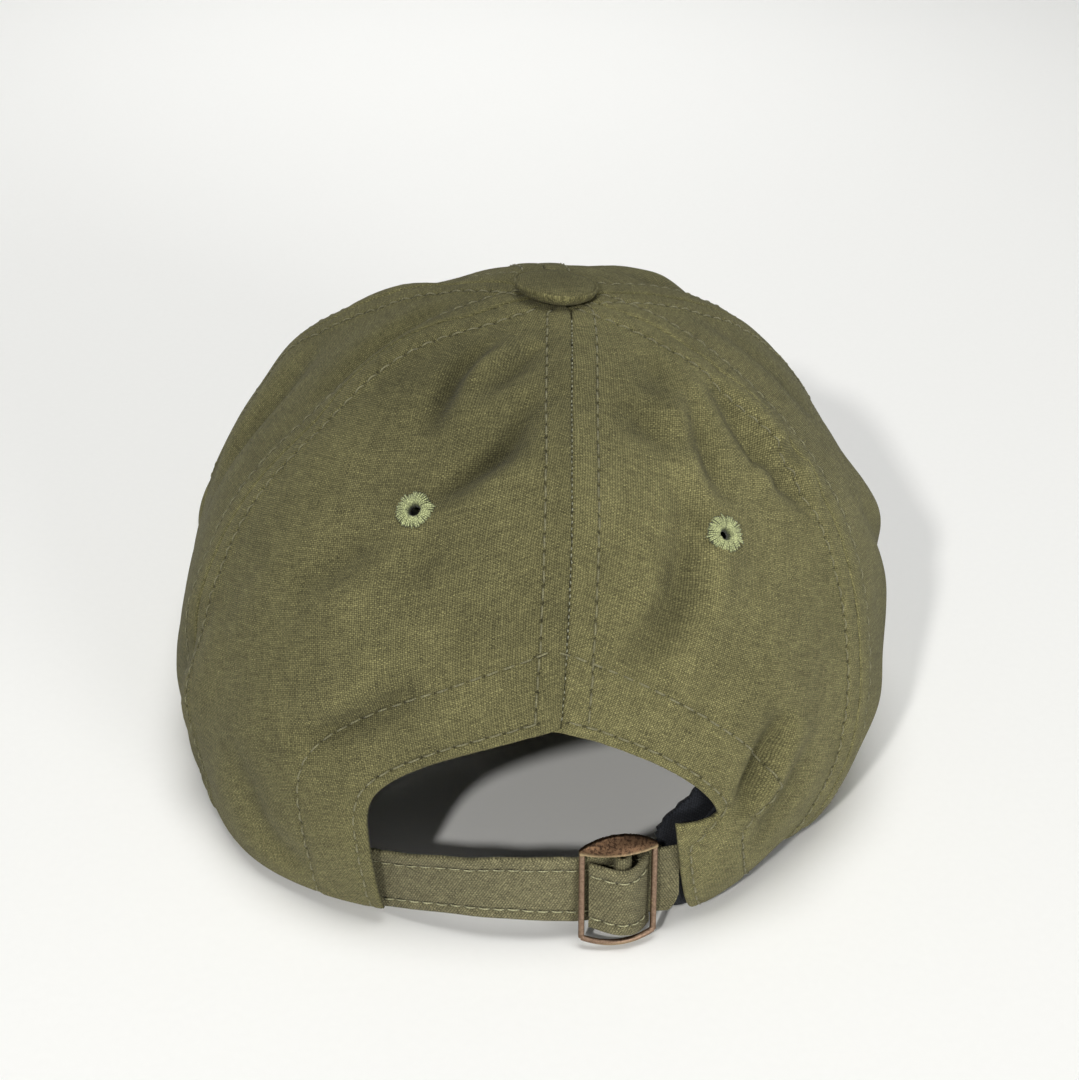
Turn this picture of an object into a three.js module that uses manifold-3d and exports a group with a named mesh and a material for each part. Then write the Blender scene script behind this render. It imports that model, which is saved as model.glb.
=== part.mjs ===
// A six-panel baseball cap with an adjustable strap and slide buckle at the back.
//
// Millimetres. +Z is up, +Y is the way the visor points, -Y is the back of the head and +X is the
// wearer's right. The cap stands on its rim, and its origin is under the middle of its bounding box.
// A place on the crown is an angle from the centre back, positive towards +X, and a height share
// that runs from 0 at the rim to 1 under the top button.

import * as THREE from 'three';
import { mergeVertices } from 'three/addons/utils/BufferGeometryUtils.js';
import Module from 'manifold-3d';

// ---- Driving dimensions ----

const RIM_LEFT = 83;            // half widths and half lengths of the rim's oval
const RIM_RIGHT = 88.5;
const RIM_BACK = 95.5;
const RIM_FRONT = 95;
const RIM_SQUARENESS = 2.48;    // exponent of the oval, where 2 is an ellipse
const CROWN_HEIGHT = 115;
const TOP_LEAN = 10;            // how far the soft crown leans to +X at its top
const FRONT_FALL = 0.145;       // share of its height that the crown loses at the front
const SIDE_BULGE = 0.117;       // how far the sides swell beyond the rim
const RISE_POWER = 1.09;        // exponents of the crown's side profile
const CLOSE_POWER = 0.83;
const BACK_LIFT = 5;            // how far the rim rises off the floor at the centre back
const BACK_LIFT_SPAN = 85;      // degrees from the centre back
const FRONT_LIFT = 19;          // how far it rises at the centre front, over the visor
const FRONT_LIFT_SPAN = 75;     // degrees from the centre front
const RIM_WAVES = [             // where the soft rim waves: [angle, half spread, lift, inward]
  [41, 9, 2.6, 2.6],
  [-59, 11, 2, 1.6],
  [22, 6, -2, -1],
];

const GAP = 0.3;                // between pieces that touch
const LAYER_GAP = 0.6;          // between the crown's curved layers
const PANEL_THICK = 1.2;
const TAPE_THICK = 0.7;
const TAPE_WIDTH = 14;
const TAPE_ROWS = 14;           // cells along a side seam's tape
const TAPE_ENDS = 33;           // how far from the top the side seams' tapes end
const TAPE_EDGE_FALL = 0.7;     // how far the centre tape's edges fall where it crosses the top
const TAPE_FLAT_FROM = 30;      // how far from the top the centre tape leaves the crown's curve
const CENTRE_TAPE_BACK = 0.475; // height shares where the centre tape starts and turns over
const CENTRE_TAPE_TOP = 0.97;
const TAPE_FOOT = 0.02;         // height share where every tape ends at the rim
const BAND_FOOT = 0.004;        // height share where the sweatband and the facing end
const PANEL_TOP = 0.985;        // height share where the panels end, under the button
const LAYER_TWO = PANEL_THICK + LAYER_GAP;                  // depth of the tapes and the facing
const LAYER_THREE = LAYER_TWO + TAPE_THICK + LAYER_GAP;     // depth of the sweatband

const SWEATBAND_THICK = 1.5;
const SWEATBAND_TALL = 29;
const SWEATBAND_END = 33;       // degrees from the centre back

const ARCH_X = 3.3;             // the rear opening
const ARCH_HALF = 38.3;
const ARCH_SPRING = 31;         // height where the hems end and the dome of the arch starts
const ARCH_RISE = 25.2;
const ARCH_LEFT_POWERS = [0.95, 2.72];     // exponents of its left half, across and up
const ARCH_RIGHT_POWERS = [1.3, 1.76];
const HEM_LEFT = 2.4;           // how far each hem leans into the opening at the rim
const HEM_RIGHT = 5.4;
const POCKET_DROP = 2;          // how far the right hem's pocket ends below the arch's spring
const FACING_WIDTH = 15;
const FACING_FROM = -36;        // degrees between which the facing is cut out
const FACING_TO = 34;
const FACING_TOP = 0.504;
const BACK_FAR = -140;          // Y between which the opening is cut through the back
const BACK_NEAR = -50;
const BELOW_RIM = -20;

const EYELET_OUTER = 4.2;
const EYELET_HOLE = 1.25;
const EYELET_WALL = 0.6;
const EYELET_CLEAR = 0.5;       // between its flanges and the curved panel
const EYELET_FLANGE = 0.6;
const EYELET_BEVEL = 0.4;
const EYELET_BACK_INSET = 0.8;  // how much smaller its inner flange is

const BUTTON_RADIUS = 10;
const BUTTON_TALL = 4.6;
const BUTTON_SHELL = 1;
const BUTTON_FULLNESS = 0.7;    // exponent of its dome
const RIVET_RADIUS = 1.6;
const RIVET_HEAD = 2.6;
const RIVET_WASHER = 6;
const RIVET_THICK = 1;

const VISOR_HALF_ANGLE = 56;    // degrees from the centre front
const VISOR_LONG = 70;
const VISOR_FULLNESS = 0.75;    // exponent of the visor's outline
const VISOR_CLEAR = 0.8;        // between the visor's inner edge and the crown
const VISOR_END = 4;            // how wide it is at its two ends
const VISOR_ROOT = 0.05;        // height share of the crown where it is sewn on
const VISOR_SLOPE = 0.12;
const VISOR_SIDE_SLOPE = 0.235;
const COVER_THICK = 0.7;
const BOARD_THICK = 1.6;
const BOARD_INSET = 1.5;

const STRAP_RADIUS = 70;        // outer face of the strap, about the closure's centre
const STRAP_CENTRE = [1.5, -28];
const STRAP_THICK = 1.4;
const STRAP_LOW = 4.4;
const STRAP_WIDTH = 17.6;
const STRAP_FROM = -40;         // degrees about the closure's centre
const STRAP_TO = 41;

const BUCKLE_ANGLE = 15.3;
const BUCKLE_MIDDLE = 13.9;     // height of the middle of its hidden bar
const BUCKLE_RAISE = 1.1;       // how far the frame's centre is above that
const BUCKLE_WIDE = 17.6;
const BUCKLE_TALL = 28.6;
const BUCKLE_TOP_RISE = 3.4;    // how far its top and its bottom bow
const BUCKLE_BOTTOM_RISE = 2.4;
const BUCKLE_THICK = 1.6;
const BUCKLE_BAR = 1.5;
const BAR_THICK = 1.4;          // the hidden centre bar
const WINDOW_TALL = 20.8;
const WINDOW_SILL = 0.4;        // between the window and the bottom's bow
const TAB_WALL = 0.8;
const TAB_BORE = 1.3;
const BAR_RADIUS = STRAP_RADIUS + GAP + TAB_WALL + TAB_BORE;
const BAND_INSET = 1;           // how much narrower the tab and the bight are than the strap
const BIGHT_HALF = 6;
const BIGHT_THICK = 1.2;
const BIGHT_FULLNESS = 0.7;     // exponent of its arc
const BIGHT_LEAN = 0.9;         // radians that its face leans at its feet

const OLIVE = new THREE.Color(0x6a654a);
const OLIVE_STRAP = new THREE.Color(0x757156);
const THREAD_GREEN = new THREE.Color(0xaab585);
const TAPE_DARK = new THREE.Color(0x23262b);
const BRASS = new THREE.Color(0x8a6a48);
const STEEL = new THREE.Color(0x9a9a96);
const BOARD_WHITE = new THREE.Color(0xd8d6cc);

const wasm = await Module();
wasm.setup();

const radians = THREE.MathUtils.degToRad;
const degrees = THREE.MathUtils.radToDeg;

// ---- The crown's surface ----

function liftShare(angleFromCentre, span) {
  const share = THREE.MathUtils.clamp(angleFromCentre / span, 0, 1);
  return Math.cos(share * Math.PI / 2) ** 2;
}

// How far the rim's waves move it at an angle: part 2 is their lift and part 3 their inward shift.
function rimWave(angle, part) {
  return RIM_WAVES.reduce((sum, wave) => {
    const away = (angle - wave[0]) / wave[1];
    return sum + wave[part] * Math.exp(-away * away);
  }, 0);
}

function rimLift(angle) {
  const fromBack = Math.abs(angle);
  const back = BACK_LIFT * liftShare(fromBack, BACK_LIFT_SPAN);
  const front = FRONT_LIFT * liftShare(180 - fromBack, FRONT_LIFT_SPAN);
  return back + front + rimWave(angle, 2);
}

function crownPoint(angle, share) {
  const s = Math.sin(radians(angle));
  const c = -Math.cos(radians(angle));
  const halfX = s < 0 ? RIM_LEFT : RIM_RIGHT;
  const halfY = c < 0 ? RIM_BACK : RIM_FRONT;
  const n = RIM_SQUARENESS;
  const oval = (Math.abs(s / halfX) ** n + Math.abs(c / halfY) ** n) ** (-1 / n);
  const turn = share * Math.PI / 2;
  const swell = 1 + SIDE_BULGE * Math.sin(Math.PI * Math.min(1, share / 0.8));
  const inward = rimWave(angle, 3) * (1 - share) ** 2;
  const reach = oval * Math.max(Math.cos(turn), 0) ** CLOSE_POWER * swell - inward;
  const rise = Math.sin(turn) ** RISE_POWER;
  const forward = Math.max(0, c * reach / RIM_FRONT);
  const fallen = rise * (1 - FRONT_FALL * forward ** 2);
  const z = CROWN_HEIGHT * fallen + rimLift(angle) * (1 - share) ** 3;
  return new THREE.Vector3(s * reach + TOP_LEAN * fallen, c * reach, z);
}

function crownNormal(angle, share) {
  const step = 0.004;
  const low = Math.max(0, share - step);
  const high = Math.min(0.998, share + step);
  const across = crownPoint(angle + 0.5, share).sub(crownPoint(angle - 0.5, share));
  const up = crownPoint(angle, high).sub(crownPoint(angle, low));
  return across.cross(up).normalize();
}

function insideCrown(angle, share, depth) {
  const normal = crownNormal(angle, share);
  // At the rim every layer ends level, so the cap stands flat.
  const level = THREE.MathUtils.clamp(share / 0.06, 0, 1);
  normal.z *= level;
  return crownPoint(angle, share).addScaledVector(normal.normalize(), -depth);
}

// Seams, as angles that depend on the height share, in order round the crown.
const seams = [
  { name: 'front', at: (t) => -180 + 4 * t },
  { name: 'front_left', at: (t) => -116 - 8 * t },
  { name: 'back_left', at: (t) => -57.6 - 14.3 * t - 4.5 * Math.sin(Math.PI * t) },
  { name: 'back', at: (t) => 0.4 * t },
  { name: 'back_right', at: (t) => 44.8 + 19.2 * t },
  { name: 'front_right', at: (t) => 112 - 22 * t ** 6 },
  { name: 'front_again', at: (t) => 180 + 4 * t },
];

// ---- Mesh helpers ----

// A closed shell between two layers of a grid: pointAt(u, v, layer), with u and v from 0 to 1.
function closedShell(pointAt, columns, rows) {
  const positions = [];
  for (const layer of [0, 1]) {
    for (let j = 0; j <= rows; j++) {
      for (let i = 0; i <= columns; i++) {
        positions.push(...pointAt(i / columns, j / rows, layer).toArray());
      }
    }
  }
  const at = (layer, i, j) => layer * (columns + 1) * (rows + 1) + j * (columns + 1) + i;
  const index = [];
  const quad = (a, b, c, d) => index.push(a, b, c, a, c, d);
  for (let j = 0; j < rows; j++) {
    for (let i = 0; i < columns; i++) {
      quad(at(0, i, j), at(0, i + 1, j), at(0, i + 1, j + 1), at(0, i, j + 1));
      quad(at(1, i, j), at(1, i, j + 1), at(1, i + 1, j + 1), at(1, i + 1, j));
    }
  }
  for (let i = 0; i < columns; i++) {
    quad(at(0, i, 0), at(1, i, 0), at(1, i + 1, 0), at(0, i + 1, 0));
    quad(at(0, i + 1, rows), at(1, i + 1, rows), at(1, i, rows), at(0, i, rows));
  }
  for (let j = 0; j < rows; j++) {
    quad(at(0, 0, j + 1), at(1, 0, j + 1), at(1, 0, j), at(0, 0, j));
    quad(at(0, columns, j), at(1, columns, j), at(1, columns, j + 1), at(0, columns, j + 1));
  }
  const geometry = new THREE.BufferGeometry();
  geometry.setAttribute('position', new THREE.Float32BufferAttribute(positions, 3));
  geometry.setIndex(index);
  return facingOut(geometry);
}

function signedVolume(geometry) {
  const p = geometry.getAttribute('position');
  const index = geometry.getIndex();
  const corners = [new THREE.Vector3(), new THREE.Vector3(), new THREE.Vector3()];
  let volume = 0;
  for (let k = 0; k < index.count; k += 3) {
    corners.forEach((corner, i) => corner.fromBufferAttribute(p, index.getX(k + i)));
    volume += corners[0].dot(corners[1].clone().cross(corners[2])) / 6;
  }
  return volume;
}

function facingOut(geometry) {
  if (signedVolume(geometry) < 0) {
    const index = geometry.getIndex().array;
    for (let k = 0; k < index.length; k += 3) {
      [index[k + 1], index[k + 2]] = [index[k + 2], index[k + 1]];
    }
  }
  return geometry;
}

function toSolid(geometry) {
  const bare = geometry.clone();
  bare.deleteAttribute('normal');
  bare.deleteAttribute('uv');
  const merged = facingOut(mergeVertices(bare, 1e-4));
  return new wasm.Manifold(new wasm.Mesh({
    numProp: 3,
    vertProperties: new Float32Array(merged.getAttribute('position').array),
    triVerts: new Uint32Array(merged.getIndex().array),
  }));
}

function fromSolid(solid) {
  const mesh = solid.getMesh();
  const geometry = new THREE.BufferGeometry();
  geometry.setAttribute('position', new THREE.BufferAttribute(new Float32Array(mesh.vertProperties), 3));
  geometry.setIndex(new THREE.BufferAttribute(new Uint32Array(mesh.triVerts), 1));
  return geometry;
}

// A prism along Y over an outline drawn in X and Z.
function prismAlongY(outline, fromY, toY) {
  const shape = new THREE.Shape(outline.map(([x, z]) => new THREE.Vector2(x, z)));
  const prism = new THREE.ExtrudeGeometry(shape, { depth: toY - fromY, bevelEnabled: false });
  prism.rotateX(Math.PI / 2);
  prism.translate(0, toY, 0);
  return prism;
}

function latheRing(profile, segments) {
  const points = profile.map(([r, z]) => new THREE.Vector2(r, z));
  const ring = new THREE.LatheGeometry(points, segments);
  ring.rotateX(Math.PI / 2);
  return ring;
}

// ---- Crown panels ----

function seamEdge(seam, share, side, halfGap) {
  const angle = seam.at(share);
  const place = crownPoint(angle, share);
  const axis = crownPoint(angle, 1);
  const radius = Math.max(1, Math.hypot(place.x - axis.x, place.y - axis.y));
  return angle + side * degrees(halfGap / radius);
}

function panelGeometry(from, to) {
  const pointAt = (u, v, layer) => {
    const share = v * PANEL_TOP;
    const start = seamEdge(from, share, 1, GAP / 2);
    const end = seamEdge(to, share, -1, GAP / 2);
    return insideCrown(start + (end - start) * u, share, layer * PANEL_THICK);
  };
  return closedShell(pointAt, 12, 15);
}

// The side panels have no eyelets.
const eyeletPlaces = {
  front_left: [-149, 0.57],
  back_left: [-29.1, 0.597],
  back_right: [28.1, 0.566],
  front_right: [147, 0.57],
};

// Turns a piece that was made about +Z so that +Z is the crown's normal at a place.
function onCrown(geometry, angle, share) {
  const turn = new THREE.Quaternion();
  turn.setFromUnitVectors(new THREE.Vector3(0, 0, 1), crownNormal(angle, share));
  geometry.applyQuaternion(turn);
  const place = crownPoint(angle, share);
  geometry.translate(place.x, place.y, place.z);
  return geometry;
}

function eyeletHole(angle, share) {
  const radius = EYELET_HOLE + EYELET_WALL + GAP;
  const bit = new THREE.CylinderGeometry(radius, radius, 12, 16);
  bit.rotateX(Math.PI / 2);
  return toSolid(onCrown(bit, angle, share));
}

function eyeletGeometry(angle, share) {
  const barrel = EYELET_HOLE + EYELET_WALL;
  const inner = -PANEL_THICK - EYELET_CLEAR;
  const lowest = inner - EYELET_FLANGE;
  const highest = EYELET_CLEAR + EYELET_FLANGE;
  const profile = [
    [EYELET_HOLE, lowest],
    [EYELET_OUTER - EYELET_BACK_INSET, lowest],
    [EYELET_OUTER - EYELET_BACK_INSET, inner],
    [barrel, inner],
    [barrel, EYELET_CLEAR],
    [EYELET_OUTER, EYELET_CLEAR],
    [EYELET_OUTER - EYELET_BEVEL, highest],
    [EYELET_HOLE, highest],
    [EYELET_HOLE, lowest],
  ];
  return onCrown(latheRing(profile, 16), angle, share);
}

// ---- The rear opening ----

// The opening's outline in X and Z, from hem to hem over the arch, widened by grow.
function archOutline(grow) {
  const outline = [];
  const half = ARCH_HALF + grow;
  const rise = ARCH_RISE + grow;
  const hem = ARCH_X + half - HEM_RIGHT;
  const pocket = ARCH_SPRING - POCKET_DROP;
  outline.push([hem, BELOW_RIM], [hem, pocket]);
  const steps = 24;
  for (let i = 0; i <= steps; i++) {
    const turn = Math.PI * i / steps;
    const [across, up] = turn < Math.PI / 2 ? ARCH_RIGHT_POWERS : ARCH_LEFT_POWERS;
    const x = Math.sign(Math.cos(turn)) * Math.abs(Math.cos(turn)) ** (2 / across);
    const z = Math.abs(Math.sin(turn)) ** (2 / up);
    outline.push([ARCH_X + half * x, ARCH_SPRING + rise * z]);
  }
  outline.push([ARCH_X - half + HEM_LEFT, BELOW_RIM]);
  return outline;
}

const archBit = toSolid(prismAlongY(archOutline(0), BACK_FAR, BACK_NEAR));

function facingGeometry() {
  const pointAt = (u, v, layer) => {
    const angle = FACING_FROM + (FACING_TO - FACING_FROM) * u;
    const share = BAND_FOOT + (FACING_TOP - BAND_FOOT) * v;
    return insideCrown(angle, share, LAYER_TWO + layer * TAPE_THICK);
  };
  const layer = toSolid(closedShell(pointAt, 22, 12));
  const reach = toSolid(prismAlongY(archOutline(FACING_WIDTH), BACK_FAR, BACK_NEAR));
  return fromSolid(layer.intersect(reach).subtract(archBit));
}

// ---- Seam tapes and sweatband ----

function tapeStrip(seam, fromShare, toShare, rows) {
  const pointAt = (u, v, layer) => {
    const share = fromShare + (toShare - fromShare) * v;
    const angle = seamEdge(seam, share, 2 * u - 1, TAPE_WIDTH / 2);
    return insideCrown(angle, share, LAYER_TWO + layer * TAPE_THICK);
  };
  return closedShell(pointAt, 2, rows);
}

// Share at which the crown is a given distance from its top's axis, under a seam.
function shareAtRadius(seam, radius) {
  let share = 1;
  const top = crownPoint(0, 1);
  const distance = (t) => {
    const place = crownPoint(seam.at(t), t);
    return Math.hypot(place.x - top.x, place.y - top.y);
  };
  while (distance(share) < radius) share -= 0.002;
  return share;
}

// The centre tape runs from the front rim over the top to the rear facing, so it is one strip
// whose path passes straight under the button.
function centreTapeGeometry() {
  const top = crownPoint(0, 1);
  const path = [];
  const steps = 14;
  const run = (seam, from, share) => path.push([seam, from + (CENTRE_TAPE_TOP - from) * share]);
  for (let i = 0; i <= steps; i++) run(seams[3], CENTRE_TAPE_BACK, i / steps);
  for (let i = steps; i >= 0; i--) run(seams[6], TAPE_FOOT, i / steps);
  const across = new THREE.Vector3(1, 0, 0);
  const pointAt = (u, v, layer) => {
    const [seam, share] = path[Math.round(v * (path.length - 1))];
    const depth = LAYER_TWO + layer * TAPE_THICK;
    const place = insideCrown(seam.at(share), share, depth);
    const far = Math.hypot(place.x - top.x, place.y - top.y);
    if (far < TAPE_FLAT_FROM) {
      place.addScaledVector(across, (2 * u - 1) * TAPE_WIDTH / 2);
      place.z -= TAPE_EDGE_FALL * (2 * u - 1) ** 2;
      return place;
    }
    // Away from the top the strip's edges follow the crown.
    const angle = seamEdge(seam, share, (seam === seams[3] ? 1 : -1) * (2 * u - 1), TAPE_WIDTH / 2);
    return insideCrown(angle, share, depth);
  };
  return closedShell(pointAt, 2, path.length - 1);
}

function sweatbandGeometry() {
  const pointAt = (u, v, layer) => {
    const angle = SWEATBAND_END + (360 - 2 * SWEATBAND_END) * u;
    const wrapped = angle > 180 ? angle - 360 : angle;
    const tall = SWEATBAND_TALL / CROWN_HEIGHT;
    const share = BAND_FOOT + Math.asin(tall ** (1 / RISE_POWER)) / (Math.PI / 2) * v;
    return insideCrown(wrapped, share, LAYER_THREE + layer * SWEATBAND_THICK);
  };
  return closedShell(pointAt, 52, 4);
}

// ---- Top button ----

function buttonGeometry() {
  const steps = 8;
  const dome = (inset, i) => {
    const turn = Math.PI / 2 * i / steps;
    const radius = (BUTTON_RADIUS - inset) * Math.cos(turn) ** BUTTON_FULLNESS;
    return [radius, (BUTTON_TALL - inset) * Math.sin(turn)];
  };
  const profile = [[0, BUTTON_TALL - BUTTON_SHELL]];
  for (let i = steps - 1; i >= 0; i--) profile.push(dome(BUTTON_SHELL, i));
  profile.push([BUTTON_RADIUS, 0]);
  for (let i = 1; i < steps; i++) profile.push(dome(0, i));
  profile.push([0, BUTTON_TALL]);
  return latheRing(profile, 36);
}

function rivetGeometry() {
  const washerTop = -LAYER_THREE - TAPE_EDGE_FALL;
  const profile = [
    [0, washerTop - RIVET_THICK],
    [RIVET_WASHER, washerTop - RIVET_THICK],
    [RIVET_WASHER, washerTop],
    [RIVET_RADIUS, washerTop],
    [RIVET_RADIUS, GAP + RIVET_THICK],
    [RIVET_HEAD, GAP + RIVET_THICK],
    [RIVET_HEAD, GAP + 2 * RIVET_THICK],
    [0, GAP + 2 * RIVET_THICK],
  ];
  return latheRing(profile, 20);
}

// ---- Visor ----

// A place on the visor's top, from the crown (out = 0) to its outer edge (out = 1).
function visorPoint(angleFromFront, out, inset, drop) {
  const angle = 180 - Math.abs(angleFromFront);
  const signed = Math.sign(angleFromFront || 1) * angle;
  const lift = rimLift(signed);
  const root = insideCrown(signed, VISOR_ROOT, -VISOR_CLEAR);
  const reach = Math.cos(Math.PI / 2 * angleFromFront / VISOR_HALF_ANGLE) ** VISOR_FULLNESS;
  const length = Math.max(VISOR_END, VISOR_LONG * reach) - inset;
  const away = new THREE.Vector3(root.x, root.y, 0).normalize();
  const side = Math.sin(radians(angleFromFront)) ** 2;
  const slope = VISOR_SLOPE + VISOR_SIDE_SLOPE * side;
  const bottom = lift + GAP;
  const thick = 2 * COVER_THICK + BOARD_THICK + 2 * GAP;
  const place = new THREE.Vector3(root.x, root.y, bottom + thick - drop);
  place.addScaledVector(away, out * length);
  place.z -= slope * out * length;
  return place;
}

function visorLayer(depth, thick, inset) {
  const pointAt = (u, v, layer) => {
    const span = VISOR_HALF_ANGLE - inset;
    return visorPoint((2 * u - 1) * span, v, inset, depth + layer * thick);
  };
  return closedShell(pointAt, 24, 6);
}

// ---- Closure ----

function strapPoint(angle, radius, z) {
  const turn = radians(angle);
  const [x, y] = STRAP_CENTRE;
  return new THREE.Vector3(x + radius * Math.sin(turn), y - radius * Math.cos(turn), z);
}

function strapGeometry() {
  const pointAt = (u, v, layer) => {
    const angle = STRAP_FROM + (STRAP_TO - STRAP_FROM) * u;
    return strapPoint(angle, STRAP_RADIUS - layer * STRAP_THICK, STRAP_LOW + STRAP_WIDTH * v);
  };
  return closedShell(pointAt, 30, 1);
}

// Turns a piece made about Z, with +Y pointing out of the head, into its place at the buckle.
function atBuckle(geometry) {
  geometry.rotateZ(Math.PI + radians(BUCKLE_ANGLE));
  const bar = strapPoint(BUCKLE_ANGLE, BAR_RADIUS, BUCKLE_MIDDLE);
  geometry.translate(bar.x, bar.y, bar.z);
  return geometry;
}

// The frame's outline: straight sides, a tall domed top and a shallow bowed bottom.
function buckleGeometry() {
  const halfWide = BUCKLE_WIDE / 2;
  const halfTall = BUCKLE_TALL / 2;
  const low = BUCKLE_RAISE - halfTall;
  const high = BUCKLE_RAISE + halfTall;
  const shape = new THREE.Shape();
  shape.moveTo(-halfWide, low + BUCKLE_BOTTOM_RISE);
  shape.quadraticCurveTo(0, low - BUCKLE_BOTTOM_RISE, halfWide, low + BUCKLE_BOTTOM_RISE);
  shape.lineTo(halfWide, high - BUCKLE_TOP_RISE);
  shape.quadraticCurveTo(0, high + BUCKLE_TOP_RISE, -halfWide, high - BUCKLE_TOP_RISE);
  shape.closePath();
  const prism = (outline, thick) => {
    const options = { depth: thick, bevelEnabled: false, curveSegments: 10 };
    const block = new THREE.ExtrudeGeometry(outline, options);
    block.rotateX(Math.PI / 2);
    block.translate(0, thick / 2, 0);
    return toSolid(block);
  };
  let solid = prism(shape, BUCKLE_THICK);
  const windowLow = low + BUCKLE_BOTTOM_RISE + WINDOW_SILL;
  const windowHigh = windowLow + WINDOW_TALL;
  for (const side of [-1, 1]) {
    const near = side * BAR_THICK / 2;
    const far = side * (halfWide - BUCKLE_BAR);
    const corners = [[near, windowLow], [far, windowLow], [far, windowHigh], [near, windowHigh]];
    const opening = new THREE.Shape(corners.map(([x, z]) => new THREE.Vector2(x, z)));
    solid = solid.subtract(prism(opening, 3 * BUCKLE_THICK));
  }
  return atBuckle(fromSolid(solid));
}

function tabGeometry() {
  const tall = STRAP_WIDTH - BAND_INSET;
  const outer = TAB_BORE + TAB_WALL;
  const profile = [
    [TAB_BORE, -tall / 2],
    [outer, -tall / 2],
    [outer, tall / 2],
    [TAB_BORE, tall / 2],
    [TAB_BORE, -tall / 2],
  ];
  return atBuckle(latheRing(profile, 20));
}

// The strap's bight: a band that rises over the bar and comes back down to the strap.
function bightGeometry() {
  const crest = TAB_BORE + TAB_WALL + GAP + BIGHT_THICK;
  const foot = STRAP_RADIUS + GAP - BAR_RADIUS + BIGHT_THICK;
  const pointAt = (u, v, layer) => {
    const along = (2 * u - 1) * BIGHT_HALF;
    const rise = Math.cos(Math.PI / 2 * (2 * u - 1)) ** BIGHT_FULLNESS;
    const out = foot + (crest - foot) * rise;
    const slope = (2 * u - 1) * BIGHT_LEAN;
    const inset = layer * BIGHT_THICK;
    const x = along - Math.sin(slope) * inset;
    const y = out - Math.cos(slope) * inset;
    return new THREE.Vector3(x, y, (v - 0.5) * (STRAP_WIDTH - BAND_INSET));
  };
  return atBuckle(closedShell(pointAt, 16, 1));
}

// ---- The cap ----

const materials = {
  canvas: new THREE.MeshStandardMaterial({ color: OLIVE, roughness: 0.9 }),
  strap: new THREE.MeshStandardMaterial({ color: OLIVE_STRAP, roughness: 0.9 }),
  thread: new THREE.MeshStandardMaterial({ color: THREAD_GREEN, roughness: 0.7 }),
  tape: new THREE.MeshStandardMaterial({ color: TAPE_DARK, roughness: 0.85 }),
  brass: new THREE.MeshStandardMaterial({ color: BRASS, roughness: 0.4, metalness: 0.9 }),
  steel: new THREE.MeshStandardMaterial({ color: STEEL, roughness: 0.4, metalness: 0.9 }),
  board: new THREE.MeshStandardMaterial({ color: BOARD_WHITE, roughness: 0.6 }),
};

const cap = new THREE.Group();

function addPiece(name, geometry, material) {
  const piece = new THREE.Mesh(geometry, material);
  piece.name = name;
  cap.add(piece);
}

const panelNames = ['front_left', 'side_left', 'back_left', 'back_right', 'side_right', 'front_right'];

panelNames.forEach((name, i) => {
  let panel = toSolid(panelGeometry(seams[i], seams[i + 1]));
  if (name.startsWith('back')) panel = panel.subtract(archBit);
  if (name in eyeletPlaces) {
    const [angle, share] = eyeletPlaces[name];
    panel = panel.subtract(eyeletHole(angle, share));
    addPiece(`eyelet_${name}`, eyeletGeometry(angle, share), materials.thread);
  }
  addPiece(`${name}_panel`, fromSolid(panel), materials.canvas);
});

const top = crownPoint(0, 1);
const rivetBit = new THREE.CylinderGeometry(RIVET_RADIUS + GAP, RIVET_RADIUS + GAP, 20, 20);
rivetBit.rotateX(Math.PI / 2);
rivetBit.translate(top.x, top.y, top.z);

const centreTape = toSolid(centreTapeGeometry()).subtract(toSolid(rivetBit));
addPiece('seam_tape_centre', fromSolid(centreTape), materials.tape);
for (const seam of [seams[1], seams[2], seams[4], seams[5]]) {
  const strip = tapeStrip(seam, TAPE_FOOT, shareAtRadius(seam, TAPE_ENDS), TAPE_ROWS);
  addPiece(`seam_tape_${seam.name}`, strip, materials.tape);
}

addPiece('rear_arch_facing', facingGeometry(), materials.canvas);
addPiece('sweatband', sweatbandGeometry(), materials.tape);

const button = buttonGeometry();
button.translate(top.x, top.y, top.z + GAP);
addPiece('top_button', button, materials.canvas);
const rivet = rivetGeometry();
rivet.translate(top.x, top.y, top.z);
addPiece('button_rivet', rivet, materials.steel);

const boardDepth = COVER_THICK + GAP;
const underDepth = boardDepth + BOARD_THICK + GAP;
addPiece('visor_top_cover', visorLayer(0, COVER_THICK, 0), materials.canvas);
addPiece('visor_board', visorLayer(boardDepth, BOARD_THICK, BOARD_INSET), materials.board);
addPiece('visor_under_cover', visorLayer(underDepth, COVER_THICK, 0), materials.canvas);

addPiece('closure_strap', strapGeometry(), materials.strap);
addPiece('buckle_frame', buckleGeometry(), materials.brass);
addPiece('buckle_tab', tabGeometry(), materials.strap);
addPiece('strap_bight', bightGeometry(), materials.strap);

// The origin goes under the middle of the bounding box.
const box = new THREE.Box3().setFromObject(cap);
const middle = box.getCenter(new THREE.Vector3());
cap.position.set(-middle.x, -middle.y, -box.min.z);

export default cap;
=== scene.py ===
# The looks of a six-panel olive baseball cap, seen from behind and above.
#
# Shapes are worked out in millimetres about the crown's own axis, then placed in the frame in metres.
# A place on the crown is an angle from the centre back, positive towards +X, and a height share that
# runs from 0 at the rim to 1 under the top button. The crown's formula is the one that the CAD
# panels follow, so every layer of cloth lies where its CAD node is.

import math

import bpy
import numpy as np
from mathutils import Matrix, Vector
from mathutils.kdtree import KDTree


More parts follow.
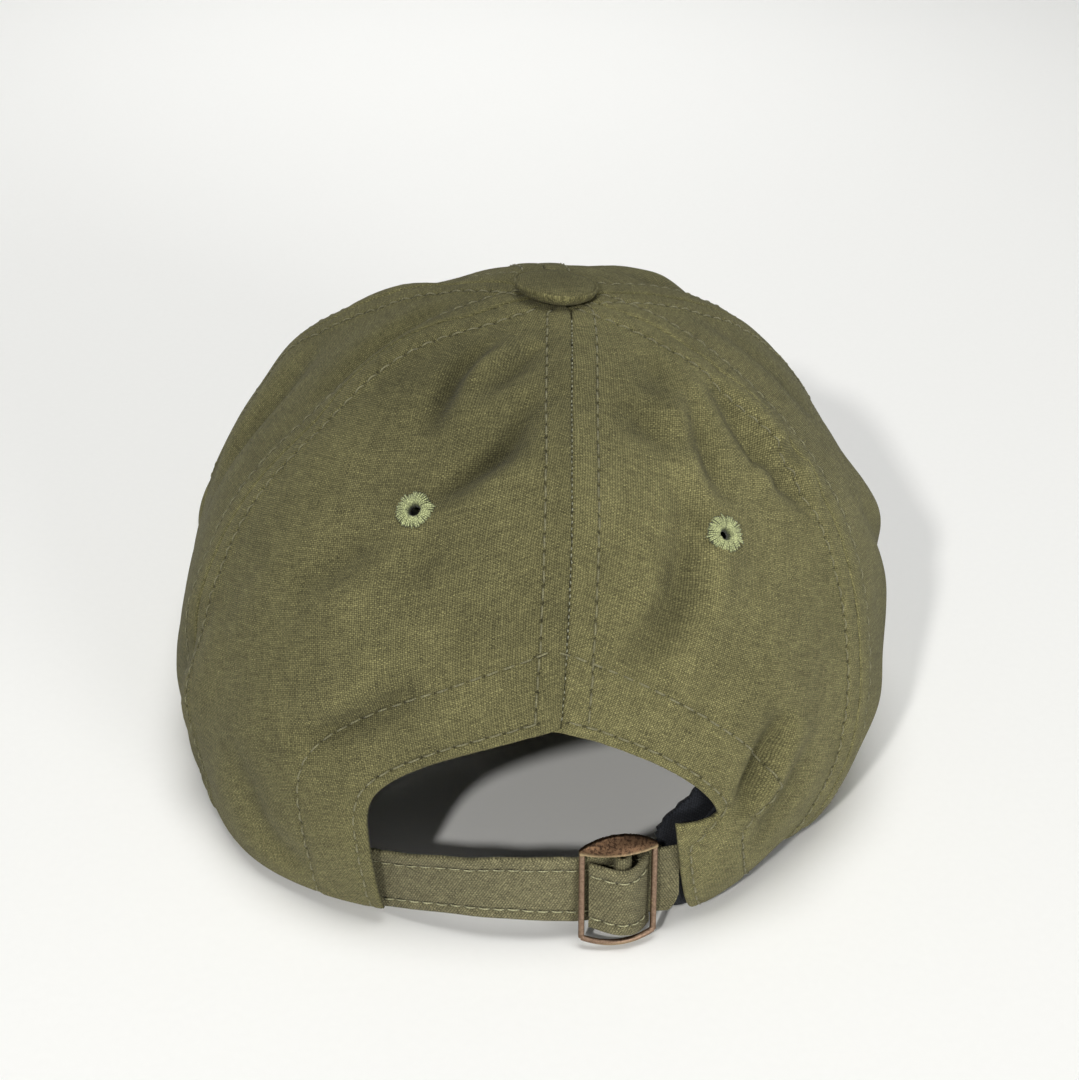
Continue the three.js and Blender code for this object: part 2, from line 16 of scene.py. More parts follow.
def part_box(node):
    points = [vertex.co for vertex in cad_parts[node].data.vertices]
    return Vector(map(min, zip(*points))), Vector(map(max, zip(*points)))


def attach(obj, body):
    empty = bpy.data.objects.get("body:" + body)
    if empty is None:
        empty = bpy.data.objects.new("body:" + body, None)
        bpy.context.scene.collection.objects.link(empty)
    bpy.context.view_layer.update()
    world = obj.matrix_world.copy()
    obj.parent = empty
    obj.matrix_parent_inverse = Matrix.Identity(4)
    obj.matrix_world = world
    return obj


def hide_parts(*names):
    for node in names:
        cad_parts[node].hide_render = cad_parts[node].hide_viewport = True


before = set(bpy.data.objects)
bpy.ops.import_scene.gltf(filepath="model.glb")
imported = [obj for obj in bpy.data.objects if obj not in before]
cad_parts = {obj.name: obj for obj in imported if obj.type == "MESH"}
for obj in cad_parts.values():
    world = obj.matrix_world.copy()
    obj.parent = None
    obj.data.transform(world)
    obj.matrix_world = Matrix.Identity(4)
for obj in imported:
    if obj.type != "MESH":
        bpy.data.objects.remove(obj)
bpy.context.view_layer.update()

MM = 0.001
rng = np.random.default_rng(7)

# ---- Driving dimensions, in millimetres and degrees ----

RIM_LEFT, RIM_RIGHT = 83.0, 88.5        # half widths and half lengths of the rim's oval
RIM_BACK, RIM_FRONT = 95.5, 95.0
RIM_SQUARENESS = 2.48                   # exponent of the oval, where 2 is an ellipse
CROWN_HEIGHT = 115.0
TOP_LEAN = 10.0                         # how far the soft crown leans to +X at its top
FRONT_FALL = 0.145                      # share of its height that the crown loses at the front
SIDE_BULGE = 0.117
RISE_POWER, CLOSE_POWER = 1.09, 0.83
BACK_LIFT, BACK_LIFT_SPAN = 5.0, 85.0
FRONT_LIFT, FRONT_LIFT_SPAN = 19.0, 75.0
# Where the soft rim waves: angle, half spread, lift, inward.
RIM_WAVES = [(41, 9, 2.6, 2.6), (-59, 11, 2.0, 1.6), (22, 6, -2.0, -1.0)]

PANEL_THICK = 1.0
PANEL_TOP = 0.985
PANEL_GAP = 0.06                        # between neighbouring panels, which meet in the seam
EDGE_ROUND = 1.0                        # radius of a panel's turned edge
ROW_OFFSET = 5.8                        # from a seam to the topstitching beside it
SEAM_SWELL = 0.42                       # how far the seam allowance under the cloth lifts it
ROW_GROOVE = 0.34
CROWN_PITCH = 3.75                      # one stitch and the gap after it
PANEL_RISE = 152.0                      # a panel's length up the crown, measured on the cloth
SEWN_REACH = 3.0                        # how far from its middle a row of stitches is felt

TAPE_DEPTH, TAPE_THICK, TAPE_HALF = 1.55, 0.6, 7.0
TAPE_ENDS = 33.0
BAND_DEPTH, BAND_THICK, BAND_TALL = 3.1, 1.3, 29.0
BAND_LEFT_END, BAND_RIGHT_END = -28.0, 15.5     # the sweatband's two ends, at the rear opening
BAND_RIGHT_RISE = 0.26                  # its right end stands up
# The right end's ragged cut: how far up the band, and how many degrees short of the end.
BAND_CUT = [(0, 0), (0.2, 1.8), (0.45, 0.9), (0.65, 0.2), (0.78, 0.8), (0.82, 2.2), (0.88, 2.4),
            (0.90, 4.6), (0.94, 4.2), (1.0, 5.6)]
BAND_RADIUS = 88.0                      # its mean radius
BAND_FLARE = 3.6                        # how far its foot flares out beside the right hem
BAND_STEP_IN = 2.6                      # how much deeper it lies behind the strap's ends

ARCH_X, ARCH_RIGHT, ARCH_LEFT = 3.3, 38.3, 39.5     # the rear opening: middle and half widths
ARCH_SPRING, ARCH_RISE = 31.0, 25.2
ARCH_RIGHT_POWERS, ARCH_LEFT_POWERS = (1.3, 1.76), (0.95, 2.72)
HEM_LEFT = (-32.6, -36.2)               # X of each hem at its foot and at its head
HEM_RIGHT = (38.2, 31.5)
POCKET_TOP = 31.9                       # height of the strap's pocket beside the right hem
FACING_WIDTH, FACING_LENGTH = 15.0, 190.0
HEM_ROW = 2.6                           # from the opening's edge to the first row of stitches

EYELET_OUTER, EYELET_HOLE = 4.3, 1.25

BUTTON_RAISE = 1.5                      # how far its underside stands off the crown
BUTTON_TILT_X, BUTTON_TILT_Y = -5.5, 4.5
# The lip under its dome: radius as a share of the button's, and height.
BUTTON_LIP = [(0.955, 1.15), (0.965, 1.3), (0.98, 1.45), (0.995, 1.4), (1.005, 1.15), (1.005, 0.7),
              (0.99, 0.2), (0.96, -0.3), (0.9, -1.0), (0.8, -1.6)]

STRAP_CENTRE = (1.5, -28.0)
STRAP_RADIUS, STRAP_THICK = 70.0, 1.3
STRAP_WIDTH = 17.2
STRAP_CREST, STRAP_SAG = 14.7, 0.0075   # height of its middle, and how it falls to both sides
STRAP_FROM, STRAP_TO = -40.0, 41.0
STRAP_ARC, STRAP_SPREAD = 29.0, 3.2     # past this angle its ends spread out to the panels
BUCKLE_ANGLE, BUCKLE_MIDDLE = 15.3, 13.9
BAR_RADIUS = 72.4
BUCKLE_WIDE, BUCKLE_BAR = 18.1, 1.4
BUCKLE_DEEP, BUCKLE_THIN = 1.35, 1.3    # its side bars' depth, and its hidden and bottom bars
BUCKLE_SWING, BUCKLE_LEAN = -8.0, 10.0  # it faces the camera side more than the strap, and leans
BUCKLE_LOW, BUCKLE_HIGH = -13.1, 14.5   # its ends, from the middle of its hidden bar

VISOR_HALF_ANGLE, VISOR_LONG, VISOR_FULLNESS, VISOR_END = 56.0, 70.0, 0.75, 4.0
VISOR_SLOPE, VISOR_SIDE_SLOPE = 0.12, 0.235
VISOR_CLEAR = 0.15                      # between the crown and the visor's root
VISOR_THICK = 3.6
VISOR_ROWS = np.arange(3.0, 43.0, 6.5)  # its rows of stitches, from its outer edge

button_low, button_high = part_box("top_button")
button_middle = (button_low + button_high) / 2
AXIS = np.array([button_middle.x / MM - TOP_LEAN, button_middle.y / MM, 0.0])


def to_frame(points):
    """Points about the crown's axis, in millimetres, as points in the frame, in metres."""
    return (np.asarray(points, float) + AXIS) * MM


# ---- The crown's surface ----

def smooth(x):
    x = np.clip(x, 0, 1)
    return x * x * (3 - 2 * x)


def rim_wave(angle, part):
    return sum(wave[part] * np.exp(-((angle - wave[0]) / wave[1]) ** 2) for wave in RIM_WAVES)


def rim_lift(angle):
    def bump(from_centre, span):
        return np.cos(np.clip(from_centre / span, 0, 1) * math.pi / 2) ** 2
    from_back = np.abs(angle)
    back = BACK_LIFT * bump(from_back, BACK_LIFT_SPAN)
    front = FRONT_LIFT * bump(180 - from_back, FRONT_LIFT_SPAN)
    return back + front + rim_wave(angle, 2)


def crown_point(angle, share):
    angle, share = np.broadcast_arrays(np.asarray(angle, float), np.asarray(share, float))
    wrapped = (angle + 180) % 360 - 180
    s, c = np.sin(np.radians(angle)), -np.cos(np.radians(angle))
    half_x = np.where(s < 0, RIM_LEFT, RIM_RIGHT)
    half_y = np.where(c < 0, RIM_BACK, RIM_FRONT)
    n = RIM_SQUARENESS
    oval = (np.abs(s / half_x) ** n + np.abs(c / half_y) ** n) ** (-1 / n)
    turn = share * math.pi / 2
    swell = 1 + SIDE_BULGE * np.sin(math.pi * np.minimum(1, share / 0.8))
    reach = oval * np.maximum(np.cos(turn), 0) ** CLOSE_POWER * swell
    reach = reach - rim_wave(wrapped, 3) * (1 - share) ** 2
    rise = np.maximum(np.sin(turn), 0) ** RISE_POWER
    forward = np.maximum(0, c * reach / RIM_FRONT)
    fallen = rise * (1 - FRONT_FALL * forward ** 2)
    z = CROWN_HEIGHT * fallen + rim_lift(wrapped) * (1 - share) ** 3
    return np.stack([s * reach + TOP_LEAN * fallen, c * reach, z], -1)


def unit(v):
    return v / np.maximum(np.linalg.norm(v, axis=-1, keepdims=True), 1e-9)


def crown_normal(angle, share):
    low, high = np.maximum(share - 0.004, 0), np.minimum(share + 0.004, 0.998)
    across = crown_point(angle + 0.5, share) - crown_point(angle - 0.5, share)
    normal = np.cross(across, crown_point(angle, high) - crown_point(angle, low))
    # At the rim every layer ends level, so the cap stands flat.
    normal[..., 2] *= np.clip(share / 0.06, 0, 1)
    return unit(normal)


def back_seam(share):
    """The centre back seam: it runs straight to the right part of the button."""
    held = np.minimum(np.asarray(share, float), 0.966)
    gap = crown_point(0 * held, held) - crown_point(0.0, 1.0)
    sway = 0.35 + 2.7 * np.clip((held - 0.58) / 0.386, 0, 1) ** 2.1
    return 0.4 * share + np.degrees(sway / np.hypot(gap[..., 0], gap[..., 1]))


SEAMS = {
    "front": lambda t: -180 + 4 * t,
    "front_left": lambda t: -116 - 8 * t,
    "back_left": lambda t: -57.6 - 14.3 * t - 4.5 * np.sin(math.pi * t),
    "back": back_seam,
    "back_right": lambda t: 44.8 + 19.2 * t,
    "front_right": lambda t: 112 - 22 * t ** 6,
    "front_again": lambda t: 180 + 4 * t,
}


def beside_seam(seam, share, distance):
    """The angle of the point at a distance from a seam, positive towards greater angles."""
    angle = SEAMS[seam](share)
    place, top = crown_point(angle, share), crown_point(angle, 1.0)
    radius = np.maximum(1, np.hypot(place[..., 0] - top[..., 0], place[..., 1] - top[..., 1]))
    return angle + np.degrees(distance / radius)


# Folds that the soft cloth has taken: places along the crease, its depth and half width, and the
# side on which the cloth bulges beside it.
FOLDS = [
    ([(-37, 0.88), (-39, 0.79), (-35.5, 0.69)], 1.5, 2.6, 1),
    ([(-15, 0.895), (-22.5, 0.823), (-29, 0.755)], 1.4, 2.2, -1),
    ([(-12, 0.79), (-14.5, 0.708), (-20, 0.665), (-29, 0.605)], 1.7, 2.6, 1),
    ([(-32, 0.57), (-37, 0.512), (-44, 0.44)], 0.7, 3.4, 1),
    ([(-36, 0.27), (-28.5, 0.31), (-24, 0.345), (-18, 0.395)], 1.3, 2.8, 1),
    ([(-22, 0.57), (-24, 0.525), (-22, 0.48)], 0.6, 3.2, 1),
    ([(-16, 0.50), (-14, 0.46), (-13, 0.41)], 0.5, 3.2, -1),
    ([(40, 0.77), (34, 0.675), (31.5, 0.595)], 1.2, 2.2, -1),
    ([(25.5, 0.65), (20.5, 0.557), (16, 0.485), (8.5, 0.40)], 1.7, 3.0, 1),
    ([(17, 0.775), (24, 0.725), (32, 0.68)], 1.1, 3.6, 1),
    ([(41, 0.85), (33, 0.78), (29, 0.74)], 0.8, 3.6, 1),
    ([(50, 0.76), (47, 0.63), (51, 0.53)], 1.7, 2.6, 1),
    ([(53, 0.63), (53, 0.585)], 1.2, 3.4, -1),
    ([(32, 0.32), (28, 0.24), (25.5, 0.18)], 2.1, 2.8, 1),
    ([(36, 0.26), (33, 0.18), (31, 0.10)], 1.0, 4.0, 1),
    ([(-46, 0.22), (-38, 0.10), (-30, 0.05)], 0.7, 4.0, -1),
    ([(-96, 0.86), (-84, 0.74), (-80, 0.60)], 1.3, 3.4, 1),
    ([(-108, 0.62), (-96, 0.48), (-92, 0.34)], 1.2, 4.0, -1),
    ([(70, 0.46), (76, 0.34), (84, 0.25)], 0.8, 3.8, 1),
    ([(96, 0.80), (88, 0.66), (80, 0.56)], 0.6, 3.6, -1),
    ([(100, 0.40), (92, 0.26), (90, 0.14)], 1.0, 4.2, 1),
    ([(134, 0.86), (128, 0.74), (132, 0.62)], 1.3, 3.6, 1),
    ([(168, 0.62), (158, 0.46), (150, 0.36)], 1.1, 4.0, -1),
    ([(-134, 0.86), (-138, 0.76), (-132, 0.64)], 1.4, 3.4, 1),
    ([(-168, 0.60), (-156, 0.48), (-150, 0.34)], 1.1, 4.0, 1),
    ([(-62, 0.34), (-66, 0.22), (-74, 0.12)], 0.9, 4.2, 1),
]

# Where the crown as a whole bulges or sinks: place, radius, height.
BUMPS = [
    ((-126, 0.53), 17, 3.4), ((-107, 0.33), 15, -1.8), ((-142, 0.73), 12, -1.6),
    ((60, 0.18), 10, 1.6), ((79, 0.385), 12, 1.2), ((92, 0.44), 10, -1.0),
    ((-76, 0.14), 12, 0.9), ((-66, 0.05), 12, -1.4), ((-166, 0.93), 9, 1.2),
]

# Slow swells of the soft cloth, as waves: wavelength, height.
SWELLS = [(64, 0.55), (43, 0.42), (29, 0.22), (17, 0.10), (11, 0.05)]


def even_curve(places, count):
    """A smooth curve through a few (angle, share) places, sampled evenly in its parameter."""
    places = np.array(places, float)
    at = np.linspace(0, len(places) - 1, count)
    if len(places) == 2:
        return places[0] + np.outer(at, places[1] - places[0])
    padded = np.vstack([2 * places[0] - places[1], places, 2 * places[-1] - places[-2]])
    i = np.minimum(at.astype(int), len(places) - 2)
    t = (at - i)[:, None]
    a, b, c, d = padded[i], padded[i + 1], padded[i + 2], padded[i + 3]
    return 0.5 * (2 * b + (c - a) * t + (2 * a - 5 * b + 4 * c - d) * t ** 2
                  + (3 * b - a - 3 * c + d) * t ** 3)


def to_segments(points, line):
    """For each point, the nearest place on a line: distance, share along it, and which side."""
    best = np.full(len(points), np.inf)
    along = np.zeros(len(points))
    offset = np.zeros((len(points), 3))
    heading = np.zeros((len(points), 3))
    for k, (a, b) in enumerate(zip(line[:-1], line[1:])):
        d = b - a
        t = np.clip(((points - a) @ d) / (d @ d), 0, 1)
        gap = points - a - t[:, None] * d
        far = np.linalg.norm(gap, axis=1)
        near = far < best
        best[near] = far[near]
        along[near] = (k + t[near]) / (len(line) - 1)
        offset[near] = gap[near]
        heading[near] = d
    side = np.sign((np.cross(heading, offset) * points).sum(1))
    return best, along, side


FOLD_DEPTH, FOLD_WIDTH = 2.3, 1.3       # how much deeper and wider than listed the folds lie
# Painted shade: each fold's crease is painted darker, and its bulge a little paler.
FOLD_PAINTED_SHADE = 0.085                      # how much darker the cloth is per millimetre of their depth
fold_lines = [(crown_point(*even_curve(places, 15).T), depth * FOLD_DEPTH, width * FOLD_WIDTH, side)
              for places, depth, width, side in FOLDS]
wave_ways = unit(rng.normal(size=(3 * len(SWELLS), 3)))
wave_starts = rng.uniform(0, 2 * math.pi, 3 * len(SWELLS))


# Patches of painted light and shade on the cloth: place, radius, change.
PAINTED_LIGHT_PATCHES = [
    ((22, 0.80), 15, -0.20), ((24, 0.62), 12, 0.10), ((-40, 0.76), 15, -0.16), ((-13, 0.70), 14, -0.12),
    ((62, 0.42), 18, 0.14), ((74, 0.24), 16, -0.22), ((4, 0.46), 17, -0.12), ((22, 0.44), 14, -0.10),
    ((-36, 0.10), 20, 0.12), ((-62, 0.75), 16, -0.10), ((40, 0.24), 12, 0.10),
]


def soft_relief(points):
    """How far the folds and swells move the crown's cloth outwards, at points on the crown."""
    return relief_and_painted_shade(points)[0]


def relief_and_painted_shade(points):
    """The soft relief at points on the crown, and the painted light and shade that make its cloth darker
    or paler there.
    """
    shape = points.shape[:-1]
    flat = points.reshape(-1, 3)
    total = np.zeros(len(flat))
    shade = np.zeros(len(flat))
    for k, (way, start) in enumerate(zip(wave_ways, wave_starts)):
        length, height = SWELLS[k % len(SWELLS)]
        total += height * np.sin(2 * math.pi * (flat @ way) / length + start) / 1.7
    for line, depth, width, lean in fold_lines:
        reach = np.linalg.norm(flat - line.mean(0), axis=1)
        near = reach < np.linalg.norm(line - line.mean(0), axis=1).max() + 5 * width
        if not near.any():
            continue
        distance, along, side = to_segments(flat[near], line)
        fade = np.sin(math.pi * np.clip(along, 0, 1)) ** 0.8
        signed = distance * side * lean
        crease = -np.exp(-(signed / width) ** 2)
        bulge = 0.62 * np.exp(-((signed - 2.0 * width) / (1.5 * width)) ** 2)
        total[near] += depth * fade * (crease + bulge)
        # Painted shade in each crease, and a little painted light on its bulge.
        shade[near] += FOLD_PAINTED_SHADE * depth * fade * (crease + 0.35 * bulge)
    for place, radius, height in BUMPS:
        far = np.linalg.norm(flat - crown_point(*place), axis=1)
        total += height * np.exp(-(far / radius) ** 2)
    # The rim is held by its hem and the top by the button, so neither moves much.
    from_top = np.linalg.norm(flat[:, :2] - [TOP_LEAN, 0], axis=1)
    total *= smooth((flat[:, 2] - 1) / 12) * smooth((from_top - 8) / 10)
    # Each patch paints light or shade into the cloth's colour.
    for place, radius, change in PAINTED_LIGHT_PATCHES:
        far = np.linalg.norm(flat - crown_point(*place), axis=1)
        shade += change * np.exp(-(far / radius) ** 2)
    return total.reshape(shape), np.maximum(shade, -0.6).reshape(shape)


# ---- Lines on the cloth ----

def lengths_along(points):
    """How far along a line of points each of them lies."""
    steps = np.linalg.norm(np.diff(points, axis=0), axis=1)
    return np.concatenate([[0], np.cumsum(steps)])


def between(at, along, values):
    """Each column of values, which are given at lengths along a line, at other lengths."""
    return np.stack([np.interp(at, along, values[:, k]) for k in range(values.shape[1])], -1)


class Line:
    """A line on a surface, evenly sampled, with the surface's normals."""

    STEP = 0.25

    def __init__(self, points, normals):
        along = lengths_along(points)
        at = np.linspace(0, along[-1], max(4, int(along[-1] / self.STEP)))
        self.length = along[-1]
        self.at = at
        self.points = between(at, along, points)
        self.normals = unit(between(at, along, normals))
        self.tree = KDTree(len(at))
        for k, place in enumerate(self.points):
            self.tree.insert(place, k)
        self.tree.balance()

    def nearest(self, points):
        """Distance to the line and length along it, for each point."""
        found = [self.tree.find(p)[1:] for p in points]
        index = np.array([f[0] for f in found], int)
        return np.array([f[1] for f in found]), self.at[index]

    def sample(self, at):
        """Points and normals at lengths along the line."""
        return between(at, self.at, self.points), unit(between(at, self.at, self.normals))


def crown_line(angles, shares):
    return Line(crown_point(angles, shares), crown_normal(angles, shares))


# ---- The rear opening ----

def arch_outline(grow, count=90):
    """X and Z along the opening's edge from the right hem's foot to the left hem's foot."""
    turn = np.linspace(0, math.pi / 2, count)
    sides = []
    for half, (across, up) in ((ARCH_RIGHT, ARCH_RIGHT_POWERS), (-ARCH_LEFT, ARCH_LEFT_POWERS)):
        x = ARCH_X + (half + math.copysign(grow, half)) * np.cos(turn) ** (2 / across)
        z = ARCH_SPRING + (ARCH_RISE + grow) * np.sin(turn) ** (2 / up)
        sides.append(np.stack([x, z], 1))
    return np.vstack([sides[0], sides[1][-2::-1]])


def even_points(points, count):
    along = lengths_along(points)
    return between(np.linspace(0, along[-1], count), along, points)


def on_back(x, z):
    """The angle and height share of the back's points that have these X and Z."""
    angle = np.degrees(np.arcsin(np.clip(np.asarray(x, float) / 95, -0.98, 0.98)))
    share = np.clip(np.asarray(z, float) / CROWN_HEIGHT, 0.02, 1) ** (1 / RISE_POWER) * 2 / math.pi
    for _ in range(12):
        here = crown_point(angle, share)
        by_angle = crown_point(angle + 0.1, share) - here
        by_share = crown_point(angle, share + 0.001) - here
        a, b = by_angle[..., 0] / 0.1, by_share[..., 0] / 0.001
        c, d = by_angle[..., 2] / 0.1, by_share[..., 2] / 0.001
        miss_x, miss_z = x - here[..., 0], z - here[..., 2]
        scale = a * d - b * c
        angle = angle + (d * miss_x - b * miss_z) / scale
        share = np.clip(share + (a * miss_z - c * miss_x) / scale, 0, 1)
    return angle, share


def half_arch(side, grow, count):
    """X and Z up one half of the arch, from where it springs to its apex; side is -1 or 1."""
    outline = arch_outline(grow)
    middle = int(np.argmax(outline[:, 1]))
    half = outline[: middle + 1] if side > 0 else outline[: middle - 1 : -1]
    return even_points(half, count)


def places_on_back(points):
    """(angle, share) of points that are given by X and Z."""
    return np.stack(on_back(points[:, 0], points[:, 1]), 1)


def hem_points(side, grow, count):
    """(angle, share) up a hem from the rim to where the arch springs; side is -1 or 1."""
    foot, head = HEM_RIGHT if side > 0 else HEM_LEFT
    head_z = POCKET_TOP if side > 0 else ARCH_SPRING
    x = np.linspace(foot, head, count) + side * grow
    z = np.linspace(3.6, head_z, count)
    angle, share = on_back(x, z)
    return angle, share * np.linspace(0, 1, count) ** 0.35


def opening_edge(grow, side):
    """(angle, share) from a hem's foot at the rim to the arch's apex; side is -1 or 1."""
    hem = np.stack(hem_points(side, grow, 30), 1)
    arch = half_arch(side, grow, 64)
    parts = [hem]
    if side > 0:
        # The pocket's top edge runs back from its corner to the arch, sagging a little.
        arch = even_points(arch[arch[:, 1] > POCKET_TOP + 1.2], 64)
        run = np.linspace(0, 1, 9)[1:-1]
        corner = np.array([HEM_RIGHT[1] + grow, POCKET_TOP])
        notch = corner + np.outer(run, arch[0] - [0, 0.7] - corner)
        notch[:, 1] -= 0.5 * np.sin(math.pi * run)
        parts.append(places_on_back(notch))
    parts.append(places_on_back(arch))
    return np.vstack(parts)


# ---- Meshes ----

TUBE_SIDES = 6                          # of a thread's tube


def shell(outer, inner, keep=None):
    """A closed shell between two grids of points. keep says which cells it has."""
    rows, columns = outer.shape[:2]
    keep = np.ones((rows - 1, columns - 1), bool) if keep is None else keep
    size = rows * columns
    at = np.arange(size).reshape(rows, columns)
    padded = np.pad(keep, 1)
    a, b, c, d = at[:-1, :-1], at[:-1, 1:], at[1:, 1:], at[1:, :-1]
    faces = [np.stack([a, b, c, d], -1)[keep]]
    faces.append(np.stack([a + size, d + size, c + size, b + size], -1)[keep])
    walls = [(a, b, padded[:-2, 1:-1]), (b, c, padded[1:-1, 2:]),
             (c, d, padded[2:, 1:-1]), (d, a, padded[1:-1, :-2])]
    for p, q, neighbour in walls:
        edge = keep & ~neighbour
        faces.append(np.stack([q, p, p + size, q + size], -1)[edge])
    faces = np.vstack(faces)
    points = np.vstack([outer.reshape(-1, 3), inner.reshape(-1, 3)])
    used, faces = np.unique(faces, return_inverse=True)
    faces = faces.reshape(-1, 4)
    points = points[used]
    if signed_volume(points, faces) < 0:
        faces = faces[:, ::-1]
    return points, faces, used


def on_both(values, used):
    """The values of a sheet's points, for the used points of a shell's outer and inner face."""
    return np.vstack([values, values])[used]


def signed_volume(points, quads):
    p = points[quads]
    return sum(float((p[:, 0] * np.cross(p[:, i], p[:, i + 1])).sum()) for i in (1, 2)) / 6


def wrapped_quads(at):
    """Faces over a grid of point numbers whose last column meets its first."""
    after = np.roll(at, -1, -1)
    low, high = at[..., :-1, :], at[..., 1:, :]
    after_low, after_high = after[..., :-1, :], after[..., 1:, :]
    return np.stack([low, after_low, after_high, high], -1).reshape(-1, 4)


def tubes(centres, sides, ups, radii):
    """Closed tubes: centres, sides and ups are (tubes, steps, 3), radii (tubes, steps)."""
    number, steps = centres.shape[:2]
    turn = 2 * math.pi * np.arange(TUBE_SIDES) / TUBE_SIDES
    ring = (np.cos(turn)[:, None] * sides[:, :, None] + np.sin(turn)[:, None] * ups[:, :, None])
    points = centres[:, :, None] + radii[:, :, None, None] * ring
    at = np.arange(number * steps * TUBE_SIDES).reshape(number, steps, TUBE_SIDES)
    caps = at[:, 0, ::-1].tolist() + at[:, -1].tolist()
    return points.reshape(-1, 3), wrapped_quads(at).tolist() + caps


def joined(parts):
    """Several (points, faces) as one."""
    points, faces, start = [], [], 0
    for p, f in parts:
        points.append(p)
        faces += [[int(i) + start for i in face] for face in f]
        start += len(p)
    return np.vstack(points), faces


def placed(name, data):
    """A new object in the scene, which shows this mesh, lamp or camera."""
    item = bpy.data.objects.new(name, data)
    bpy.context.scene.collection.objects.link(item)
    return item


def add_piece(name, points, faces, material, body="crown", slot=None, stands_for=(), **attributes):
    """A mesh piece from points about the crown's axis, in millimetres."""
    mesh = bpy.data.meshes.new(name)
    faces = faces.tolist() if isinstance(faces, np.ndarray) else faces
    mesh.from_pydata(to_frame(points).tolist(), [], faces)
    mesh.shade_smooth()
    for key, values in attributes.items():
        layer = mesh.attributes.new(key, "FLOAT_VECTOR", "POINT")
        layer.data.foreach_set("vector", np.asarray(values, np.float32).ravel())
    mesh.materials.append(material)
    mesh.update()
    piece = placed(name, mesh)
    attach(piece, body)
    if stands_for:
        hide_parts(*stands_for)
    return piece


# ---- Materials ----

class Nodes:
    """A material's nodes, with short calls for the ones used here."""

    def __init__(self, name):
        self.material = bpy.data.materials.new(name)
        self.material.use_nodes = True
        self.tree = self.material.node_tree
        self.shader = self.tree.nodes["Principled BSDF"]

    def link(self, value, socket):
        if isinstance(value, bpy.types.NodeSocket):
            self.tree.links.new(value, socket)
        else:
            socket.default_value = value

    def math(self, operation, a, b=0.0, c=0.0):
        node = self.tree.nodes.new("ShaderNodeMath")
        node.operation = operation
        for value, socket in zip((a, b, c), node.inputs):
            self.link(value, socket)
        return node.outputs[0]

    def attribute(self, name):
        node = self.tree.nodes.new("ShaderNodeAttribute")
        node.attribute_name = name
        return node.outputs["Vector"]

    def split(self, vector):
        node = self.tree.nodes.new("ShaderNodeSeparateXYZ")
        self.link(vector, node.inputs[0])
        return node.outputs

    def vector(self, x, y, z=0.0):
        node = self.tree.nodes.new("ShaderNodeCombineXYZ")
        for value, socket in zip((x, y, z), node.inputs):
            self.link(value, socket)
        return node.outputs[0]

    def place(self):
        return self.tree.nodes.new("ShaderNodeTexCoord").outputs["Object"]

    def noise(self, vector, scale, detail=2.0, rough=0.5):
        node = self.tree.nodes.new("ShaderNodeTexNoise")
        self.link(vector, node.inputs["Vector"])
        node.inputs["Scale"].default_value = scale
        node.inputs["Detail"].default_value = detail
        node.inputs["Roughness"].default_value = rough
        return node.outputs["Fac"]

    def spread(self, value, from_low, from_high, to_low, to_high):
        node = self.tree.nodes.new("ShaderNodeMapRange")
        node.interpolation_type = "SMOOTHSTEP"
        for given, socket in zip((value, from_low, from_high, to_low, to_high), node.inputs):
            self.link(given, socket)
        return node.outputs[0]

    def mix(self, share, a, b):
        node = self.tree.nodes.new("ShaderNodeMix")
        node.data_type = "RGBA"
        self.link(share, node.inputs["Factor"])
        colours = [s for s in node.inputs if s.type == "RGBA"]
        self.link(a, colours[0])
        self.link(b, colours[1])
        return next(s for s in node.outputs if s.type == "RGBA")

    def shade(self, colour, factor):
        """A colour times a number."""
        node = self.tree.nodes.new("ShaderNodeVectorMath")
        node.operation = "SCALE"
        self.link(colour, node.inputs[0])
        self.link(factor, node.inputs["Scale"])
        return node.outputs[0]

    def bump(self, height, distance, strength=1.0, under=None):
        node = self.tree.nodes.new("ShaderNodeBump")
        self.link(height, node.inputs["Height"])
        node.inputs["Distance"].default_value = distance
        node.inputs["Strength"].default_value = strength
        if under is not None:
            self.link(under, node.inputs["Normal"])
        return node.outputs[0]

    def finish(self, colour, roughness, normal=None, **constants):
        self.link(colour, self.shader.inputs["Base Color"])
        self.link(roughness, self.shader.inputs["Roughness"])
        if normal is not None:
            self.link(normal, self.shader.inputs["Normal"])
        for name, value in constants.items():
            self.shader.inputs[name.replace("_", " ")].default_value = value
        return self.material


def rgb(red, green, blue):
    return (red, green, blue, 1.0)


